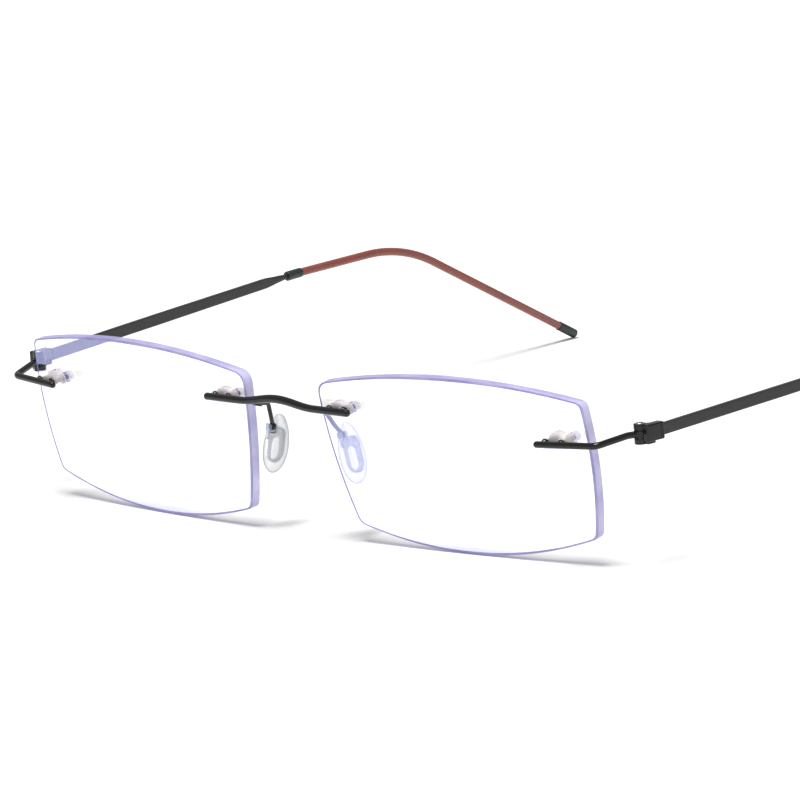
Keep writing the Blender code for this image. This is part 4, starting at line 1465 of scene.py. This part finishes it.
@dataclass
class Temples:
    """The flat temples with their hinge clamps, screws and sleeved ear tips."""

    hinge: Hinge = field(default_factory=Hinge)
    splay_deg: float = 2.58
    offset: float = 1.2
    start: tuple[float, float] = (1.35, 21.71)
    crest: tuple[float, float] = (63.5, 24.50)
    bend: tuple[float, float] = (91.3, 24.45)
    tip: tuple[float, float] = (134.2, 0.72)
    crest_radius: float = 150.0
    ear_radius: float = 35.0
    half_width: float = 0.42
    half_height: float = 0.95
    end_half_height: float = 0.84
    core_radius: float = 0.38
    strip_end: float = 56.5
    neck: float = 60.2
    collar_start: float = 62.0
    collar_end: float = 65.5
    sleeve_end: float = 130.2
    core_end: float = 132.4
    sleeve_radius: float = 0.69
    sleeve_wall: float = 0.25
    collar_radius: float = 0.82
    cap_radius: float = 0.81
    cap_bore: float = 0.46
    knuckle_gap: float = 0.06
    barrel_half: float = 1.62
    screw_radius: float = 0.42
    head_radius: float = 0.70
    head_height: float = 0.50
    clamp_front: float = -0.33
    clamp_end: float = 3.45
    clamp_lift: float = 0.06  # of its middle above the strip's
    clamp_creases: tuple[float, ...] = (0.45, 0.85)  # back from its end
    eye_room: float = 0.09  # round the endpiece's eye
    slot_front: float = 1.25
    slot_below: float = 0.09  # room under the strip
    slot_above: float = 0.16
    clamp_half_height: float = 1.40
    clamp_half_width: float = 0.80

    def place(self, side: Side) -> Matrix:
        """Returns a temple's frame: on its hinge axis at floor level, y along the temple."""
        turn = Matrix.Rotation(math.radians(-self.splay_deg), 4, "Z")
        spot = Matrix.Translation((*self.hinge.spot[:2], 0))
        return side.flip @ spot @ turn

    def path(self) -> list[Vector]:
        """Returns the temple's centre line in its own frame."""
        spots = (self.start, self.crest, self.bend, self.tip)
        corners = [(self.offset, y, z) for y, z in spots]
        return rounded_path(corners, [self.crest_radius, self.ear_radius], 0.7)

    def between(self, start: float, end: float) -> list[Vector]:
        """Returns the stretch of the centre line between two distances from the hinge."""
        path = self.path()

        def at(where: float) -> Vector:
            """Returns the point of the centre line at a distance from the hinge."""
            if where <= path[0].y + 0.01:
                return path[0]
            for low, high in zip(path, path[1:]):
                if low.y <= where <= high.y:
                    return low.lerp(high, (where - low.y) / (high.y - low.y))
            return path[-1]

        inner = [point for point in path if start + 0.15 < point.y < end - 0.15]
        return [at(start), *inner, at(end)]

    def section(
        self, path: list[Vector], index: int, wide: float, tall: float, power: float,
        sides: int = 40,
    ) -> list[Vector]:
        """Returns a rounded ring across a path.

        Args:
            path: The points.
            index: Which point the ring stands at.
            wide: Half its width.
            tall: Half its height.
            power: 2 for an ellipse, more for a squarer shape.
            sides: Number of sides.

        Returns:
            The ring's points.
        """
        before = path[max(index - 1, 0)]
        after = path[min(index + 1, len(path) - 1)]
        across = Vector((1, 0, 0))
        up = across.cross((after - before).normalized())
        ring = []
        for i in range(sides):
            angle = 2 * math.pi * (i + 0.5) / sides
            c = math.cos(angle)
            s = math.sin(angle)
            x = math.copysign(abs(c) ** (2 / power), c) * wide
            z = math.copysign(abs(s) ** (2 / power), s) * tall
            ring.append(path[index] + across * x + up * z)
        return ring

    def add_strip(self, side: Side) -> None:
        """Makes the flat strip, which narrows to a neck and runs on as the core wire."""
        rows = [
            (self.start[0], self.half_width, self.half_height, 9.0),
            (8.0, self.half_width, self.half_height, 9.0),
            (30.0, self.half_width, self.half_height, 9.0),
            (self.strip_end, self.half_width, self.end_half_height, 9.0),
            (57.5, self.half_width + 0.01, 0.78, 6.0),
            (58.5, self.half_width + 0.03, 0.67, 4.5),
            (59.4, self.half_width + 0.05, 0.59, 3.2),
            (self.neck, self.half_width + 0.06, 0.56, 2.6),
            (self.neck + 0.6, self.core_radius + 0.06, 0.5, 2.2),
            (self.collar_start - 0.05, self.core_radius, self.core_radius, 2.0),
        ]
        stations = [self.between(row[0], self.core_end)[0] for row in rows]
        profile = [row[1:] for row in rows]
        core = self.between(self.collar_start + 0.4, self.core_end)
        stations += core
        profile += [(self.core_radius, self.core_radius, 2.0)] * len(core)
        rings = [self.section(stations, i, *profile[i]) for i in range(len(stations))]
        name = side.word + "_lacquered_temple"
        obj = to_object(name, loft(rings), (LACQUER,), self.place(side), 50.0)
        hand_over(obj, side.word + "_temple", [side.word + "_temple_strip"])

    def add_tube(
        self, side: Side, name: str, node: str, finish: Finish,
        span: tuple[float, float], radius: float, bore: float, rounding: float, blind: float,
    ) -> None:
        """Makes a tube on the temple's centre line.

        Args:
            side: The wearer's side.
            name: The piece's name after the side.
            node: The CAD node's name after the side.
            finish: The tube's finish.
            span: Its start and end, from the hinge axis.
            radius: Its outer radius.
            bore: Its inner radius.
            rounding: Radius of its rims.
            blind: Length of the solid last stretch.
        """
        path = self.between(*span)
        lead = (path[1] - path[0]).normalized()
        tail = (path[-2] - path[-1]).normalized()
        steps = [(1 - math.cos(math.radians(a)), 1 - math.sin(math.radians(a)))
                 for a in (0, 30, 60, 90)]
        stations = [path[0] + lead * rounding * reach for reach, _ in steps]
        radii = [radius - rounding * inset for _, inset in steps]
        stations += path[1:-1]
        radii += [radius] * (len(path) - 2)
        stations += [path[-1] + tail * rounding * reach for reach, _ in steps[::-1]]
        radii += [radius - rounding * inset for _, inset in steps[::-1]]
        rings = [
            self.section(stations, i, radii[i], radii[i], 2.0, 48) for i in range(len(stations))
        ]
        full = f"{side.word}_{name}"
        tube = to_object(full, loft(rings), (finish,), self.place(side))
        inside = self.between(span[0], span[1] - blind)
        inside[0] = inside[0] - lead
        if not blind:
            inside[-1] = inside[-1] - tail
        hollow = loft([self.section(inside, i, bore, bore, 2.0, 32) for i in range(len(inside))])
        combine(tube, solids([hollow], finish, self.place(side)), "DIFFERENCE")
        hand_over(tube, side.word + "_temple", [f"{side.word}_{node}"])

    def add_clamp(self, side: Side) -> None:
        """Makes the folded clamp with the hinge's top and bottom knuckles."""
        place = self.place(side) @ Matrix.Translation((0, 0, self.hinge.spot[2]))
        name = side.word + "_folded_clamp"
        line = self.start[1] - self.hinge.spot[2] + self.clamp_lift
        body = block(
            (self.offset - self.clamp_half_width, self.clamp_front, line - self.clamp_half_height),
            (self.offset + self.clamp_half_width, self.clamp_end, line + self.clamp_half_height),
            0.26, 5,
        )
        clamp = to_object(name, body, (ENAMEL,), place)
        room = self.hinge.eye_half + self.knuckle_gap
        extras = []
        for low, high in ((room, self.barrel_half), (-self.barrel_half, -room)):
            knuckle = cylinder(self.hinge.radius, (0, 0, low), (0, 0, high), 64, 0.07)
            foot = block((0.1, -0.05, low + 0.02), (1.75, 1.6, high - 0.1), 0.12)
            extras += [knuckle, foot]
        combine(clamp, solids(extras, ENAMEL, place), "UNION")
        slot_half = self.half_width + SEAT_GAP
        cuts = [
            cylinder(self.hinge.radius + self.eye_room, (0, 0, -room), (0, 0, room), 64),
            cylinder(self.hinge.bore, (0, 0, -3), (0, 0, 3), 48),
            cylinder(self.head_radius + 0.06, (0, 0, self.barrel_half - 0.36), (0, 0, 3), 48),
            block(
                (self.offset - slot_half, self.slot_front, line - self.half_height - self.slot_below),
                (self.offset + slot_half, self.clamp_end + 1,
                 line + self.half_height + self.slot_above),
            ),
        ]
        for face in (-1, 1):  # shallow creases where the sheet was folded round the strip
            outside = self.offset + face * self.clamp_half_width
            for y in (self.clamp_end - crease for crease in self.clamp_creases):
                cuts.append(block((outside - 0.05, y - 0.05, -3), (outside + 0.05, y + 0.05, 3)))
        combine(clamp, solids(cuts, ENAMEL, place), "DIFFERENCE")
        hand_over(clamp, side.word + "_temple", [side.word + "_hinge_clamp"])

    def add_screw(self, side: Side) -> None:
        """Makes the slotted hinge screw."""
        place = self.place(side) @ Matrix.Translation((0, 0, self.hinge.spot[2]))
        name = side.word + "_steel_screw"
        shank = cylinder(self.screw_radius, (0, 0, 0.05 - self.barrel_half), (0, 0, 1.4), 48, 0.05)
        screw = to_object(name, shank, (STEEL,), place)
        seat = self.barrel_half - 0.32
        top = seat + self.head_height
        head = cylinder(self.head_radius, (0, 0, seat), (0, 0, top), 48, 0.18)
        slot = block((-1, -0.1, top - 0.14), (1, 0.1, 3))
        combine(screw, solids([head], STEEL, place), "UNION")
        combine(screw, solids([slot], STEEL, place), "DIFFERENCE")
        hand_over(screw, side.word + "_temple", [side.word + "_hinge_screw"])

    def build(self) -> None:
        """Makes both temples."""
        for side in Side:
            self.add_clamp(side)
            self.add_screw(side)
            self.add_strip(side)
            self.add_tube(
                side, "moulded_collar", "collar", BLACK_ABS,
                (self.collar_start, self.collar_end - SEAT_GAP), self.collar_radius,
                self.core_radius + 0.06, 0.14, 0.0,
            )
            self.add_tube(
                side, "red_brown_sleeve", "ear_sleeve", SLEEVE,
                (self.collar_end, self.sleeve_end - SEAT_GAP), self.sleeve_radius,
                self.sleeve_radius - self.sleeve_wall, 0.05, 0.0,
            )
            self.add_tube(
                side, "moulded_cap", "end_cap", BLACK_ABS,
                (self.sleeve_end, self.tip[0]), self.cap_radius, self.cap_bore, 0.12, 1.6,
            )


# ------------------------------------------------------------------ studio


@dataclass
class Studio:
    """Pale floor, soft overhead light and the camera."""

    eye: Spot = (1071.8, -1013.383, 309.653)
    right: Spot = (0.7046, 0.7058, -0.0739)
    up: Spot = (-0.0848, 0.1872, 0.9787)
    back: Spot = (0.7046, -0.6833, 0.1917)
    lens_mm: float = 420.75
    world: float = 0.45
    key: float = 2.95
    key_spread_deg: float = 20.0
    key_way: Spot = (-0.08, 0.28, -1.0)

    def add_floor(self) -> None:
        """Makes the plain floor."""
        mesh = bpy.data.meshes.new("floor")
        far = 30.0
        corners = [(-far, -far, 0), (far, -far, 0), (far, far, 0), (-far, far, 0)]
        mesh.from_pydata(corners, [], [(0, 1, 2, 3)])
        floor = new_object("floor", mesh)
        floor.location.z = -0.0001
        paint = bpy.data.materials.new("white_studio_floor")
        paint.use_nodes = True
        shader = paint.node_tree.nodes["Principled BSDF"]
        shader.inputs["Base Color"].default_value = (0.9, 0.9, 0.9, 1.0)
        shader.inputs["Roughness"].default_value = 0.9
        shader.inputs["Specular IOR Level"].default_value = 0.0
        mesh.materials.append(paint)

    def add_lights(self) -> None:
        """Makes the even surround and the overhead lamp."""
        world = bpy.data.worlds.new("studio")
        bpy.context.scene.world = world
        world.use_nodes = True
        around = world.node_tree.nodes["Background"]
        around.inputs["Color"].default_value = (1, 1, 1, 1)
        around.inputs["Strength"].default_value = self.world
        lamp = bpy.data.lights.new("overhead", "SUN")
        lamp.angle = math.radians(self.key_spread_deg)
        lamp.energy = self.key
        key = new_object("overhead", lamp)
        key.rotation_euler = Vector(self.key_way).to_track_quat("-Z", "Y").to_euler()

    def add_camera(self) -> None:
        """Sets the camera at the calibrated viewpoint."""
        data = bpy.data.cameras.new("camera")
        data.lens = self.lens_mm
        data.sensor_width = 36.0
        data.clip_end = 100.0
        camera = new_object("camera", data)
        turn = Matrix((self.right, self.up, self.back)).transposed()
        spot = (Vector(self.eye) - ORIGIN) * MM
        camera.matrix_world = Matrix.Translation(spot) @ turn.to_quaternion().to_matrix().to_4x4()
        bpy.context.scene.camera = camera

    def build(self) -> None:
        """Sets the stage."""
        bpy.context.scene.view_settings.view_transform = "Standard"
        self.add_floor()
        self.add_lights()
        self.add_camera()


def main() -> None:
    """Builds the studio and the glasses."""
    logging.basicConfig(level=logging.INFO, format="%(name)s: %(message)s")
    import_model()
    Studio().build()
    pads = NosePads()
    Front().build(pads.pivot())
    pads.build()
    Temples().build()


if __name__ == "__main__":
    main()
